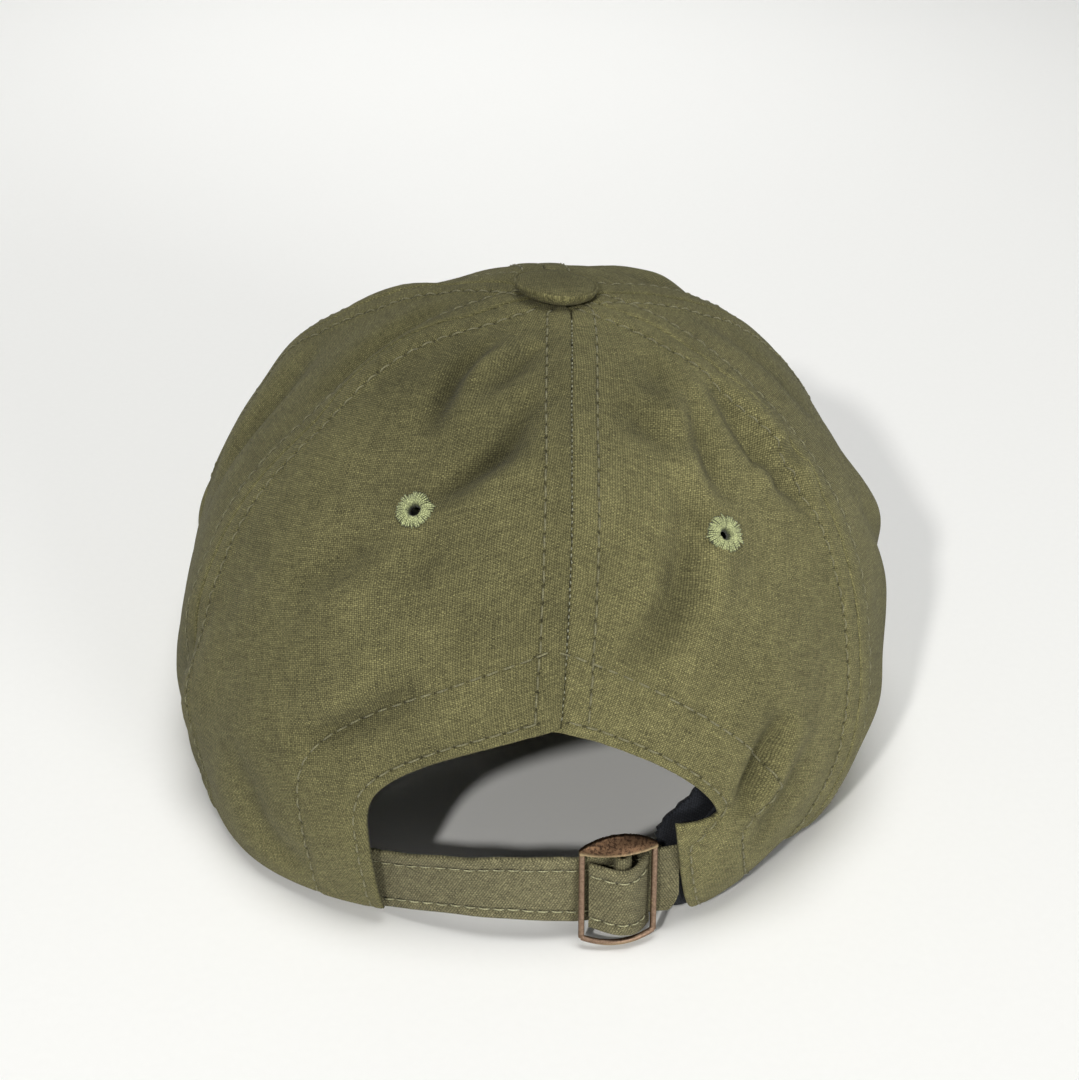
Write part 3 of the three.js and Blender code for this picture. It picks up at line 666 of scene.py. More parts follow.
def woven(name, colour, pitch, contrast=1.0, warp_tint=0.80, sheen=0.04, bump=0.00013):
    """Plain-woven cloth. It reads two attributes: weave, where a point lies on the flat cloth in
    millimetres and the painted tone that paints light and shade into its colour there, and sewn,
    how near it is to a row of stitches and how many stitches along."""
    n = Nodes(name)
    x, y, painted_tone = n.split(n.attribute("weave"))
    place = n.place()
    wander = n.noise(place, 160.0, 2.0)
    x = n.math("ADD", x, n.math("MULTIPLY", n.math("SUBTRACT", wander, 0.5), 0.9))
    y = n.math("ADD", y, n.math("MULTIPLY", n.math("SUBTRACT", wander, 0.5), -0.7))
    # The yarns across lie closer together than those along, so they show as short dashes.
    across, up = n.math("DIVIDE", x, pitch * 1.2), n.math("DIVIDE", y, pitch * 0.83)
    warp = n.math("ABSOLUTE", n.math("SINE", n.math("MULTIPLY", across, math.pi)))
    weft = n.math("ABSOLUTE", n.math("SINE", n.math("MULTIPLY", up, math.pi)))
    column, row = n.math("FLOOR", across), n.math("FLOOR", up)
    parity = n.math("MODULO", n.math("ABSOLUTE", n.math("ADD", column, row)), 2.0)
    weft_on_top = n.math("SUBTRACT", 1.0, parity)
    warp_over = n.math("MULTIPLY", warp, n.math("MULTIPLY_ADD", weft, 0.45, 0.55))
    weft_over = n.math("MULTIPLY", weft, n.math("MULTIPLY_ADD", warp, 0.45, 0.55))
    height = n.math("ADD", n.math("MULTIPLY", warp_over, parity),
                    n.math("MULTIPLY", weft_over, weft_on_top))

    # Each yarn has its own shade, which drifts along it; slubs run over several yarns.
    warp_at = n.vector(n.math("MULTIPLY", column, 3.7), n.math("MULTIPLY", y, 0.22))
    warp_yarn = n.noise(warp_at, 1.0, 1.0)
    weft_at = n.vector(n.math("MULTIPLY", row, 3.7), n.math("MULTIPLY", x, 0.22), 9.0)
    weft_yarn = n.noise(weft_at, 1.0, 1.0)
    yarn = n.math("ADD", n.math("MULTIPLY", warp_yarn, parity),
                  n.math("MULTIPLY", weft_yarn, weft_on_top))
    knot = n.noise(n.vector(n.math("MULTIPLY", column, 5.3), n.math("MULTIPLY", row, 5.3)), 1.0, 0.0)
    slub = n.noise(n.vector(n.math("MULTIPLY", x, 0.22), n.math("MULTIPLY", y, 1.3)), 1.0, 2.0)
    fuzz = n.noise(place, 2400.0, 2.0, 0.6)
    patches = n.noise(place, 26.0, 3.0)
    stains = n.noise(place, 90.0, 3.0, 0.6)

    def around(value, amount):
        """A number near 1 that follows a noise."""
        return n.math("MULTIPLY_ADD", n.math("SUBTRACT", value, 0.5), amount, 1.0)

    factor = n.spread(height, 0.05, 0.9, 1.0 - 0.52 * contrast, 1.0 + 0.24 * contrast)
    shades = ((yarn, 1.2), (knot, 0.5), (slub, 0.6), (fuzz, 1.7), (patches, 0.35), (stains, 0.45))
    for value, amount in shades:
        factor = n.math("MULTIPLY", factor, around(value, amount * contrast))
    # The painted tone paints light and shade into the colour.
    factor = n.math("MULTIPLY", factor, n.math("ADD", painted_tone, 1.0))

    near, count, _ = n.split(n.attribute("sewn"))
    gap = n.math("SUBTRACT", SEWN_REACH, near)
    phase = n.math("SUBTRACT", n.math("FRACT", n.math("ADD", count, 0.5)), 0.5)
    along = n.math("MULTIPLY", phase, 3.6)
    from_hole = n.math("SQRT", n.math("ADD", n.math("MULTIPLY", gap, gap),
                                      n.math("MULTIPLY", along, along)))
    ragged = n.math("ADD", from_hole, n.math("MULTIPLY", n.math("SUBTRACT", fuzz, 0.5), 0.5))
    # The needle holes and the rows' grooves are painted darker, as shade that falls in them.
    hole = n.spread(ragged, 0.14, 0.50, 1.0, 0.0)
    groove = n.spread(gap, 0.15, 0.8, 1.0, 0.0)
    factor = n.math("MULTIPLY", factor, n.math("MULTIPLY_ADD", hole, -0.52, 1.0))
    factor = n.math("MULTIPLY", factor, n.math("MULTIPLY_ADD", groove, -0.10, 1.0))

    # Ridges are painted paler and hollows darker: partly wear on the ridges, partly painted shade in the
    # hollows.
    wear_and_painted_light = n.tree.nodes.new("ShaderNodeNewGeometry").outputs["Pointiness"]
    factor = n.math("MULTIPLY", factor, n.spread(wear_and_painted_light, 0.46, 0.56, 0.93, 1.08))

    dull = rgb(*(part * warp_tint for part in colour))
    tint = n.mix(parity, rgb(*colour), dull)
    relief = n.math("ADD", height, n.math("MULTIPLY", fuzz, 0.6))
    relief = n.math("SUBTRACT", relief, n.math("MULTIPLY", hole, 1.8))
    normal = n.bump(relief, bump, 0.9)
    rough = n.spread(height, 0.0, 1.0, 0.97, 0.86)
    return n.finish(n.shade(tint, factor), rough, normal, Sheen_Weight=sheen, Sheen_Roughness=0.5,
                    Specular_IOR_Level=0.2)


def spun(name, colour, dark, twist=0.55, roughness=0.62, ply=0.34):
    """Sewing thread. It reads twist: length along the thread and way round it, in millimetres, and how
    deep it has sunk, where it is painted dark as shade.
    """
    n = Nodes(name)
    along, around, deep = n.split(n.attribute("twist"))
    lay = n.math("SINE", n.math("MULTIPLY", n.math("ADD", n.math("DIVIDE", along, twist), around),
                                2 * math.pi))
    fibre = n.noise(n.place(), 3800.0, 2.0)
    shade = n.math("MULTIPLY_ADD", lay, ply * 0.5, 1.0)
    shade = n.math("MULTIPLY", shade, n.math("MULTIPLY_ADD", fibre, 0.6, 0.7))
    vary = n.noise(n.place(), 1500.0, 1.0)
    shade = n.math("MULTIPLY", shade, n.math("MULTIPLY_ADD", vary, 1.5, 0.25))
    # Where the thread sinks into the cloth its colour is painted towards the dark one, as shade.
    colour = n.mix(deep, rgb(*colour), rgb(*dark))
    normal = n.bump(n.math("ADD", lay, fibre), 0.00006, 0.8)
    rough = n.math("MULTIPLY_ADD", fibre, 0.15, roughness)
    return n.finish(n.shade(colour, shade), rough, normal, Sheen_Weight=0.15, Specular_IOR_Level=0.35)


def old_brass():
    n = Nodes("old_brass")
    place = n.place()
    wear_and_painted_light = n.tree.nodes.new("ShaderNodeNewGeometry").outputs["Pointiness"]
    grain = n.noise(place, 1500.0, 4.0, 0.7)
    patches = n.noise(place, 260.0, 3.0)
    # Edges turn gold: partly wear, partly painted highlight.
    rubbed_and_painted_highlight = n.spread(n.math("ADD", wear_and_painted_light, n.math("MULTIPLY", patches, 0.06)), 0.54, 0.66, 0.0, 1.0)
    speckle = n.spread(grain, 0.42, 0.62, 0.0, 1.0)
    plate, painted_highlight = n.split(n.attribute("patina"))[:2]
    copper = n.mix(n.math("MULTIPLY", speckle, 0.6), rgb(0.27, 0.185, 0.13), rgb(0.13, 0.082, 0.055))
    dark = n.mix(speckle, rgb(0.125, 0.074, 0.042), rgb(0.035, 0.021, 0.014))
    colour = n.mix(plate, copper, dark)
    # The leaf's lower lip and the bottom bar get a painted highlight in gold.
    bright = n.math("MAXIMUM", n.math("MULTIPLY", rubbed_and_painted_highlight, 0.7), n.math("MULTIPLY", painted_highlight, 0.8))
    colour = n.mix(bright, colour, rgb(0.58, 0.45, 0.26))
    rough = n.math("MULTIPLY_ADD", rubbed_and_painted_highlight, -0.22, n.math("MULTIPLY_ADD", grain, 0.25, 0.36))
    normal = n.bump(n.math("ADD", grain, n.math("MULTIPLY", patches, 0.7)), 0.00008, 0.7)
    return n.finish(colour, rough, normal, Metallic=1.0)


def plain_metal():
    n = Nodes("rivet_steel")
    scratches = n.noise(n.place(), 1800.0, 5.0, 0.7)
    colour = n.mix(scratches, rgb(0.36, 0.36, 0.34), rgb(0.55, 0.55, 0.52))
    rough = n.math("MULTIPLY_ADD", scratches, 0.25, 0.25)
    return n.finish(colour, rough, n.bump(scratches, 0.00004, 0.6), Metallic=1.0)


def moulded_board():
    n = Nodes("visor_board")
    grain = n.noise(n.place(), 900.0, 4.0)
    colour = n.mix(grain, rgb(0.66, 0.64, 0.58), rgb(0.78, 0.76, 0.70))
    rough = n.math("MULTIPLY_ADD", grain, 0.2, 0.45)
    return n.finish(colour, rough, n.bump(grain, 0.00008, 0.5))


def studio_floor():
    n = Nodes("studio_floor")
    tooth = n.noise(n.place(), 500.0, 3.0)
    colour = n.mix(tooth, rgb(0.94, 0.94, 0.915), rgb(0.965, 0.965, 0.94))
    rough = n.math("MULTIPLY_ADD", tooth, 0.1, 0.85)
    return n.finish(colour, rough)


OLIVE = (0.158, 0.146, 0.063)
OLIVE_STRAP = (0.168, 0.154, 0.083)
canvas = woven("olive_canvas", OLIVE, 0.42)
strap_canvas = woven("strap_canvas", OLIVE_STRAP, 0.48)
inner_tape = woven("inner_tape", (0.016, 0.018, 0.023), 0.45, 0.8)
row_thread = spun("olive_thread", (0.175, 0.165, 0.085), (0.02, 0.018, 0.01))
seam_thread = spun("seam_thread", (0.26, 0.26, 0.17), (0.03, 0.03, 0.02))
pale_thread = spun("pale_thread", (0.36, 0.35, 0.20), (0.05, 0.045, 0.025))
dark_thread = spun("dark_thread", (0.03, 0.033, 0.04), (0.008, 0.008, 0.01))
eyelet_thread = spun("eyelet_thread", (0.36, 0.39, 0.19), (0.022, 0.026, 0.012), twist=0.5,
                     roughness=0.6, ply=0.5)
brass = old_brass()
steel = plain_metal()
board_plastic = moulded_board()


# ---- Stitches ----

def thread_twist(along, deep):
    """A thread's twist: length along it, share of the way round, and how deep it has sunk, where it is
    painted dark as shade.
    """
    number, steps = along.shape
    phase = along + rng.uniform(0, 3, (number, 1))
    ring = np.tile(np.arange(TUBE_SIDES) / TUBE_SIDES, number * steps)
    sunk = np.tile(deep, number)
    return np.stack([np.repeat(phase.ravel(), TUBE_SIDES), ring, np.repeat(sunk, TUBE_SIDES)], 1)


def stitches(line, lift, pitch, radius=0.2, start=0.0, end=None, fill=0.9):
    """Closed thread loops along a line: each rises from one needle hole and dives into the next."""
    end = line.length if end is None else end
    number = int((end - start) / pitch)
    steps = 8
    share = np.linspace(0, 1, steps)
    first = start + pitch * np.arange(number)[:, None]
    inset = (1 - fill) / 2 * pitch
    at = first + inset + (pitch - 2 * inset) * share
    points, normals = line.sample(at)
    ahead = line.sample(at + 0.3)[0]
    behind = line.sample(at - 0.3)[0]
    forward = unit(ahead - behind)
    sides = unit(np.cross(forward, normals))
    arch = np.sin(math.pi * share) ** 0.55
    height = np.interp(at, line.at, lift) + radius * (-1.6 + 2.6 * arch)
    wander = rng.normal(0, 0.05, (number, 1)) + rng.normal(0, 0.07, (number, 1)) * (share - 0.5)
    centres = points + normals * height[..., None] + sides * wander[..., None]
    radii = np.full(at.shape, radius) * (0.75 + 0.25 * arch)
    points, faces = tubes(centres, sides, normals, radii)
    # Both ends of each loop, where it dives into the cloth, are painted dark as shade.
    return points, faces, thread_twist(at, np.abs(2 * share - 1) ** 5)


def add_stitching(name, rows, material, body="crown", slot="canvas"):
    """One piece that holds several rows of stitches, each (points, faces, twist)."""
    points, faces = joined([(p, f) for p, f, _ in rows])
    twist = np.vstack([t for _, _, t in rows])
    add_piece(name, points, faces, material, body, slot, twist=twist)


def nearest_row(points, rows):
    """How far each point is from a row of stitches, up to SEWN_REACH, and its count along it."""
    gap = np.full(len(points), SEWN_REACH)
    count = np.zeros(len(points))
    for line in rows:
        distance, along = line.nearest(points)
        nearer = distance < gap
        gap[nearer] = distance[nearer]
        count[nearer] = along[nearer] / CROWN_PITCH
    return gap, count


def turned(x, y, degrees, painted_tone):
    """Places on the flat cloth, turned to its grain, with the painted tone that paints light or shade
    into the cloth's colour.
    """
    turn = math.radians(degrees)
    return np.stack([x * math.cos(turn) - y * math.sin(turn),
                     x * math.sin(turn) + y * math.cos(turn), np.full_like(x, painted_tone)], -1)


# ---- Crown panels ----

RAILS = np.array([0, 0.14, 0.32, 0.58, 0.95, 1.5, 2.3, 3.2, 4.1, 4.8, 5.2, 5.5, 5.8, 6.1, 6.4, 6.9,
                  7.7, 8.8])
MIDDLE_COLUMNS = 66
PANEL_ROWS = 196


def column_shares(length):
    """Where a panel's columns lie across a row of this length, close together at both edges."""
    rails = RAILS * min(1.0, 0.44 * length / RAILS[-1])
    rails = rails + PANEL_GAP
    middle = np.linspace(rails[-1], length - rails[-1], MIDDLE_COLUMNS + 2)[1:-1]
    return np.concatenate([rails, middle, length - rails[::-1]]) / length


def panel_grid(left, right):
    """(angle, share) grids between two edges, given row by row as (angle, share)."""
    across = np.linspace(0, 1, 14)[None, :, None]
    track = left[:, None] + (right - left)[:, None] * across
    lengths = np.linalg.norm(np.diff(crown_point(track[..., 0], track[..., 1]), axis=1), axis=2).sum(1)
    at = np.stack([column_shares(length) for length in lengths])[..., None]
    grid = left[:, None] + (right - left)[:, None] * at
    return grid[..., 0], grid[..., 1]


def row_beside(seam, side, low, high):
    """The topstitching beside a seam, from one height share to another."""
    share = np.linspace(low, high, 160)
    width = np.abs(crown_radius(share)) * math.pi / 6
    angle = beside_seam(seam, share, side * np.minimum(ROW_OFFSET, width))
    return crown_line(angle, share)


def crown_radius(share):
    place = crown_point(45.0, share)
    return np.hypot(place[..., 0] - TOP_LEAN * share, place[..., 1])


class Panel:
    """One crown panel: its seams, rows of stitches and edges, and the relief that they give it."""

    def __init__(self, name, left_seam, right_seam, grain, painted_tone):
        self.name, self.grain, self.painted_tone = name, grain, painted_tone
        self.left_seam, self.right_seam = left_seam, right_seam
        self.opens = name.startswith("back")
        share = np.linspace(0, PANEL_TOP, 200)
        self.seams = {s: crown_line(SEAMS[s](share), share) for s in (left_seam, right_seam)}
        self.rows = []
        self.arch_rows = []
        side = -1 if name == "back_left" else 1
        for seam, way in ((left_seam, 1), (right_seam, -1)):
            low = 0.345 if self.opens and seam == "back" else 0.012
            self.rows.append(row_beside(seam, way, low, 0.975))
        if self.opens:
            edge = opening_edge(0.0, side)
            self.edge_places = edge
            self.edge = crown_line(edge[:, 0], edge[:, 1])
            for grow in (HEM_ROW, FACING_WIDTH):
                places = row_places(grow, side)
                line = crown_line(places[:, 0], places[:, 1])
                self.arch_rows.append(line)

    def distances(self, points):
        seam = np.min([line.nearest(points)[0] for line in self.seams.values()], axis=0)
        edge = self.edge.nearest(points)[0] if self.opens else np.full(len(points), 99.0)
        return seam, edge

    def sewn(self, points):
        """How near each point is to a row of stitches, and its count along the row."""
        gap, count = nearest_row(points, self.rows + self.arch_rows)
        return np.stack([SEWN_REACH - gap, count, 0 * gap], 1)

    def relief(self, points, sewn=None):
        """How far the outer face stands off the crown's surface."""
        sewn = self.sewn(points) if sewn is None else sewn
        seam, edge = self.distances(points)
        height = soft_relief(points)
        from_top = np.linalg.norm(points[:, :2] - [TOP_LEAN, 0], axis=1)
        height += SEAM_SWELL * smooth((6.9 - seam) / 1.3) * smooth((from_top - 6) / 8)
        height += 0.16 * np.sin(math.pi * np.clip(seam / ROW_OFFSET, 0, 1))
        height += 0.30 * smooth((FACING_WIDTH + 0.6 - edge) / 1.4)
        gap = SEWN_REACH - sewn[:, 0]
        pull = 0.72 + 0.28 * np.cos(2 * math.pi * sewn[:, 1])
        height -= ROW_GROOVE * np.exp(-(gap / 0.55) ** 2) * pull
        ripple = np.sin(2 * math.pi * sewn[:, 1] / 1.7 + np.sin(sewn[:, 1] * 1.3) * 2.2)
        height += 0.075 * np.exp(-(gap / 1.6) ** 2) * ripple
        return height

    def rounding(self, points):
        """How far the turned edges fall away."""
        seam, edge = self.distances(points)
        run = points[:, 2] * 1.1 + points[:, 0] * 0.7
        seam = seam + 0.10 * np.sin(run * 2.3 + 1.4 * np.sin(run * 0.9)) + 0.07 * np.sin(run * 5.9)
        seam = np.maximum(seam, 0)
        rim = np.maximum(points[:, 2] - rim_lift(np.degrees(np.arctan2(points[:, 0], -points[:, 1]))), 0)
        fall = np.zeros(len(points))
        for distance, radius in ((seam, EDGE_ROUND), (edge, 0.75), (rim, 0.8)):
            inside = np.clip(1 - distance / radius, 0, 1)
            fall = np.maximum(fall, radius * 0.92 * (1 - np.sqrt(1 - inside ** 2)))
        return np.minimum(fall, PANEL_THICK * 0.92)

    def build(self):
        share = np.linspace(0, PANEL_TOP, PANEL_ROWS)
        if self.opens:
            lower = len(self.edge_places)
            upper = PANEL_ROWS + 40 - lower
            centre = np.linspace(self.edge_places[-1][1], PANEL_TOP, upper + 1)[1:]
            inner = np.vstack([self.edge_places, np.stack([SEAMS["back"](centre), centre], 1)])
            outer_share = np.concatenate([np.linspace(0, 0.5, lower),
                                          np.linspace(0.5, PANEL_TOP, upper + 1)[1:]])
            other = self.left_seam if self.name == "back_left" else self.right_seam
            outer = np.stack([SEAMS[other](outer_share), outer_share], 1)
            left, right = (outer, inner) if self.name == "back_left" else (inner, outer)
        else:
            left = np.stack([SEAMS[self.left_seam](share), share], 1)
            right = np.stack([SEAMS[self.right_seam](share), share], 1)
        angle, height = panel_grid(left, right)
        base, normal = crown_point(angle, height), crown_normal(angle, height)
        flat = base.reshape(-1, 3)
        sewn = self.sewn(flat)
        lift = (self.relief(flat, sewn) - self.rounding(flat)).reshape(angle.shape)
        soft, shade = relief_and_painted_shade(base)
        outer = base + normal * lift[..., None]
        inner = base + normal * (soft - PANEL_THICK)[..., None]
        centres = (base[:-1, :-1] + base[1:, 1:]) / 2
        keep = np.ones(centres.shape[:2], bool)
        if self.name in EYELETS:
            eye = crown_point(*EYELETS[self.name])
            keep = np.linalg.norm(centres - eye, axis=2) > EYELET_HOLE + 0.75
        points, faces, used = shell(outer, inner, keep)
        weave = self.weave(angle, height)
        # The painted shade and light of the folds and patches join the panel's painted tone.
        weave[..., 2] += shade
        weave = weave.reshape(-1, 3)
        weave = np.vstack([weave, weave + [0.3, 0.2, 0]])[used]
        sewn = on_both(sewn, used)
        add_piece(self.name + "_panel_cloth", points, faces, canvas, slot="canvas",
                  stands_for=[self.name + "_panel"], weave=weave, sewn=sewn)
        self.stitch()

    def weave(self, angle, share):
        """Where each point lies on the flat cloth, turned to the panel's grain."""
        low, high = SEAMS[self.left_seam](share), SEAMS[self.right_seam](share)
        middle = (low + high) / 2
        place = crown_point(angle, share)
        radius = np.hypot(place[..., 0] - TOP_LEAN * share, place[..., 1])
        x = radius * np.radians(angle - middle)
        return turned(x, share * PANEL_RISE, self.grain, self.painted_tone)

    def stitch(self):
        rows = []
        for line in self.rows + self.arch_rows:
            lift = self.relief(line.points)
            rows.append(stitches(line, lift, CROWN_PITCH))
        add_stitching(self.name + "_topstitching", rows, row_thread)


def row_places(grow, side):
    """(angle, share) of a row of stitches that runs beside the opening, a distance from its edge."""
    hem = np.stack(hem_points(side, grow, 30), 1)
    arch = half_arch(side, grow, 80)
    if side > 0:
        # The row cuts the corner between the arch and the hem.
        hem = hem[: int(len(hem) * 0.86)]
        arch = arch[arch[:, 1] > POCKET_TOP + 2]
    places = np.vstack([hem, places_on_back(arch)])
    return even_points(places * [1.0, 60.0], 220) / [1.0, 60.0]


EYELETS = {
    "front_left": (-149.0, 0.57),
    "back_left": (-29.1, 0.597),
    "back_right": (27.7, 0.562),
    "front_right": (147.0, 0.57),
}

# The last number is each panel's painted tone: painted light on the right panels, painted shade on the
# left ones.
panels = [
    Panel("front_left", "front", "front_left", 4.0, 0.0),
    Panel("side_left", "front_left", "back_left", -12.0, -0.06),
    Panel("back_left", "back_left", "back", -20.0, -0.04),
    Panel("back_right", "back", "back_right", 25.0, 0.12),
    Panel("side_right", "back_right", "front_right", 16.0, 0.10),
    Panel("front_right", "front_right", "front_again", -4.0, 0.0),
]
for panel in panels:
    panel.build()


def seam_threads():
    """The sewing thread that shows between the two back panels, deep in their seam."""
    share = np.linspace(0.35, 0.95, 300)
    line = crown_line(back_seam(share), share)
    lift = soft_relief(line.points) + 0.02 + 0.12 * np.sin(line.at * 2.1)
    rows = [stitches(line, lift, 1.45, radius=0.15, fill=0.55)]
    add_stitching("back_seam_threads", rows, seam_thread)


seam_threads()


# ---- Eyelets ----

def local_axes(normal):
    """Two directions across a normal: right, and up the crown."""
    right = unit(np.cross([0.0, 0.0, 1.0], normal))
    return right, np.cross(normal, right)


def eyelet(name):
    """A sewn eyelet: satin stitches round a hole, over a padding ring."""
    angle, share = EYELETS[name]
    place = crown_point(angle, share)
    normal = crown_normal(np.array(angle), np.array(share))
    right, up = local_axes(normal)
    middle = place + normal * soft_relief(place[None])[0]
    folded = 0.5 if name == "back_right" else 0.0
    count, steps = 50, 11
    turn = 2 * math.pi * (np.arange(count) + rng.uniform(-0.18, 0.18, count)) / count
    run = np.linspace(0, 1, steps)
    outer = EYELET_OUTER - 0.1 + rng.normal(0, 0.24, count)
    hole = EYELET_HOLE * (1 - 0.35 * folded * (np.cos(turn - 1.0) + 1))
    # From the outer needle hole over the ring, down through the middle and back underneath.
    radius = outer[:, None] + (hole - outer)[:, None] * run ** 0.92
    rise = -0.45 + 1.25 * np.sin(math.pi * np.clip(run * 0.62 + 0.06, 0, 1)) ** 0.5
    height = np.tile(rise - 1.5 * smooth((run - 0.8) / 0.2), (count, 1))
    height += rng.normal(0, 0.05, (count, 1))
    height += folded * 0.9 * smooth(1 - radius / 4.0) * np.cos(turn - 2.4)[:, None]
    sway = turn[:, None] + rng.normal(0, 0.035, (count, 1)) * (run - 0.3)
    flat = np.cos(sway)[..., None] * right + np.sin(sway)[..., None] * up
    centres = middle + flat * radius[..., None] + normal * height[..., None]
    forward = unit(np.gradient(centres, axis=1))
    sides = unit(np.cross(forward, normal))
    ups = np.cross(sides, forward)
    radii = rng.normal(0.20, 0.03, (count, 1)) * (1 - 0.34 * run)
    points, faces = tubes(centres, sides, ups, radii)
    # The threads are painted dark as shade where they dive into the hole and at their outer needle
    # holes.
    twist = thread_twist(radius, np.maximum(smooth((run - 0.72) / 0.28), 0.9 * (run == 0)))

    # The padding ring under the threads, which also lines the hole. It is painted dark, as shade in the
    # hole.
    turns = np.linspace(0, 2 * math.pi, 49)
    profile = [(hole.mean() + 0.1, -1.5), (hole.mean() + 0.12, 0.0), (2.0, 0.35), (3.2, 0.3),
               (EYELET_OUTER - 0.35, 0.0), (EYELET_OUTER - 0.35, -0.4), (2.0, -0.5), (2.0, -1.5)]
    ring_points = []
    for a in turns[:-1]:
        way = math.cos(a) * right + math.sin(a) * up
        ring_points += [middle + way * r + normal * h for r, h in profile]
    size = len(profile)
    ring_faces = []
    for i in range(48):
        for j in range(size):
            a, b = i * size + j, i * size + (j + 1) % size
            c, d = (a + size) % (48 * size), (b + size) % (48 * size)
            ring_faces.append([a, c, d, b])
    ring_points = np.array(ring_points)
    if signed_volume(ring_points, np.array(ring_faces)) < 0:
        ring_faces = [face[::-1] for face in ring_faces]
    all_points, all_faces = joined([(points, faces), (ring_points, ring_faces)])
    ring_twist = np.tile([0.0, 0.0, 0.86], (len(ring_points), 1))
    add_piece("eyelet_" + name + "_thread", all_points, all_faces, eyelet_thread,
              slot="eyelet_thread", stands_for=["eyelet_" + name],
              twist=np.vstack([twist, ring_twist]))


for eyelet_name in EYELETS:
    eyelet(eyelet_name)


# ---- Inside: seam tapes, the opening's facing and the sweatband ----

def crown_layer(name, angle, share, depth, thick, material, slot, stands_for, across, along):
    """A thin layer inside the crown, over an (angle, share) grid. depth may be a grid."""
    base, normal = crown_point(angle, share), crown_normal(angle, share)
    soft = soft_relief(base)
    outer = base + normal * (soft - depth)[..., None]
    inner = base + normal * (soft - depth - thick)[..., None]
    points, faces, used = shell(outer, inner)
    weave = np.stack([across, along, np.zeros_like(across)], -1).reshape(-1, 3)
    add_piece(name, points, faces, material, slot=slot, stands_for=stands_for,
              weave=on_both(weave, used))


def tape_depth(across):
    """A tape's edges lie close to the panel and its middle stands off the seam allowance."""
    return TAPE_DEPTH + 0.35 * (1 - across ** 2)


def side_tape(seam):
    top = crown_point(0.0, 1.0)
    share = np.linspace(0.02, 0.97, 400)
    place = crown_point(SEAMS[seam](share), share)
    far = np.hypot(place[:, 0] - top[0], place[:, 1] - top[1])
    share = np.linspace(0.02, share[far > TAPE_ENDS].max(), 150)[:, None]
    across = np.linspace(-1, 1, 13)[None, :]
    angle = beside_seam(seam, share + 0 * across, across * TAPE_HALF)
    crown_layer("tape_" + seam, angle, share + 0 * across, tape_depth(across + 0 * share),
                TAPE_THICK, inner_tape, "inner_tape", ["seam_tape_" + seam],
                across * TAPE_HALF + 0 * share, share * PANEL_RISE + 0 * across)
    tape_stitches("tape_stitches_" + seam, seam, float(share[0, 0]), float(share[-1, 0]))


def tape_stitches(name, seam, low, high):
    rows = []
    share = np.linspace(low, high, 160)
    for side in (-1, 1):
        line = crown_line(beside_seam(seam, share, side * (ROW_OFFSET + 0.2)), share)
        line.normals *= -1
        lift = TAPE_DEPTH + TAPE_THICK + 0.1 - soft_relief(line.points)
        rows.append(stitches(line, lift, CROWN_PITCH))
    add_stitching(name, rows, dark_thread, slot="inner_tape")


for seam_name in ("front_left", "back_left", "back_right", "front_right"):
    side_tape(seam_name)


def centre_tape():
    """One tape from the front rim over the top, under the button, to the opening's facing."""
    back_share = np.linspace(0.475, 0.955, 80)
    front_share = np.linspace(0.955, 0.02, 170)
    back_path = crown_point(SEAMS["back"](back_share), back_share)
    front_path = crown_point(SEAMS["front_again"](front_share), front_share)
    back_normal = crown_normal(SEAMS["back"](back_share), back_share)
    front_normal = crown_normal(SEAMS["front_again"](front_share), front_share)
    hop = np.linspace(0, 1, 14)[1:-1, None]
    top = crown_point(0.0, 1.0)
    bridge = (1 - hop) * back_path[-1] + hop * front_path[0]
    bridge[:, 2] += (top[2] - bridge[:, 2]) * (np.sin(math.pi * hop[:, 0]) ** 0.8) * 0.9
    bridge_normal = unit((1 - hop) * back_normal[-1] + hop * front_normal[0])
    path = np.vstack([back_path, bridge, front_path])
    normal = np.vstack([back_normal, bridge_normal, front_normal])
    forward = unit(np.gradient(path, axis=0))
    side = unit(np.cross(forward, normal))
    across = np.linspace(-1, 1, 13)[None, :, None]
    soft = soft_relief(path)[:, None, None]
    far = np.linalg.norm(path[:, :2] - top[:2], axis=1)
    settle = (0.9 * smooth(1 - far / 40))[:, None, None]
    spot = path[:, None] + side[:, None] * across * TAPE_HALF
    depth = TAPE_DEPTH + 0.35 + settle + 0.25 * across ** 2
    outer = spot + normal[:, None] * (soft - depth)
    inner = spot + normal[:, None] * (soft - depth - TAPE_THICK)
    points, faces, used = shell(outer, inner)
    run = lengths_along(path)
    weave = np.stack(np.broadcast_arrays(across[..., 0] * TAPE_HALF, run[:, None], 0.0), -1)
    weave = weave.reshape(-1, 3)
    add_piece("tape_centre", points, faces, inner_tape, slot="inner_tape",
              stands_for=["seam_tape_centre"], weave=on_both(weave, used))
    tape_stitches("tape_stitches_back", "back", 0.48, 0.80)
    tape_stitches("tape_stitches_front", "front", 0.03, 0.80)


centre_tape()


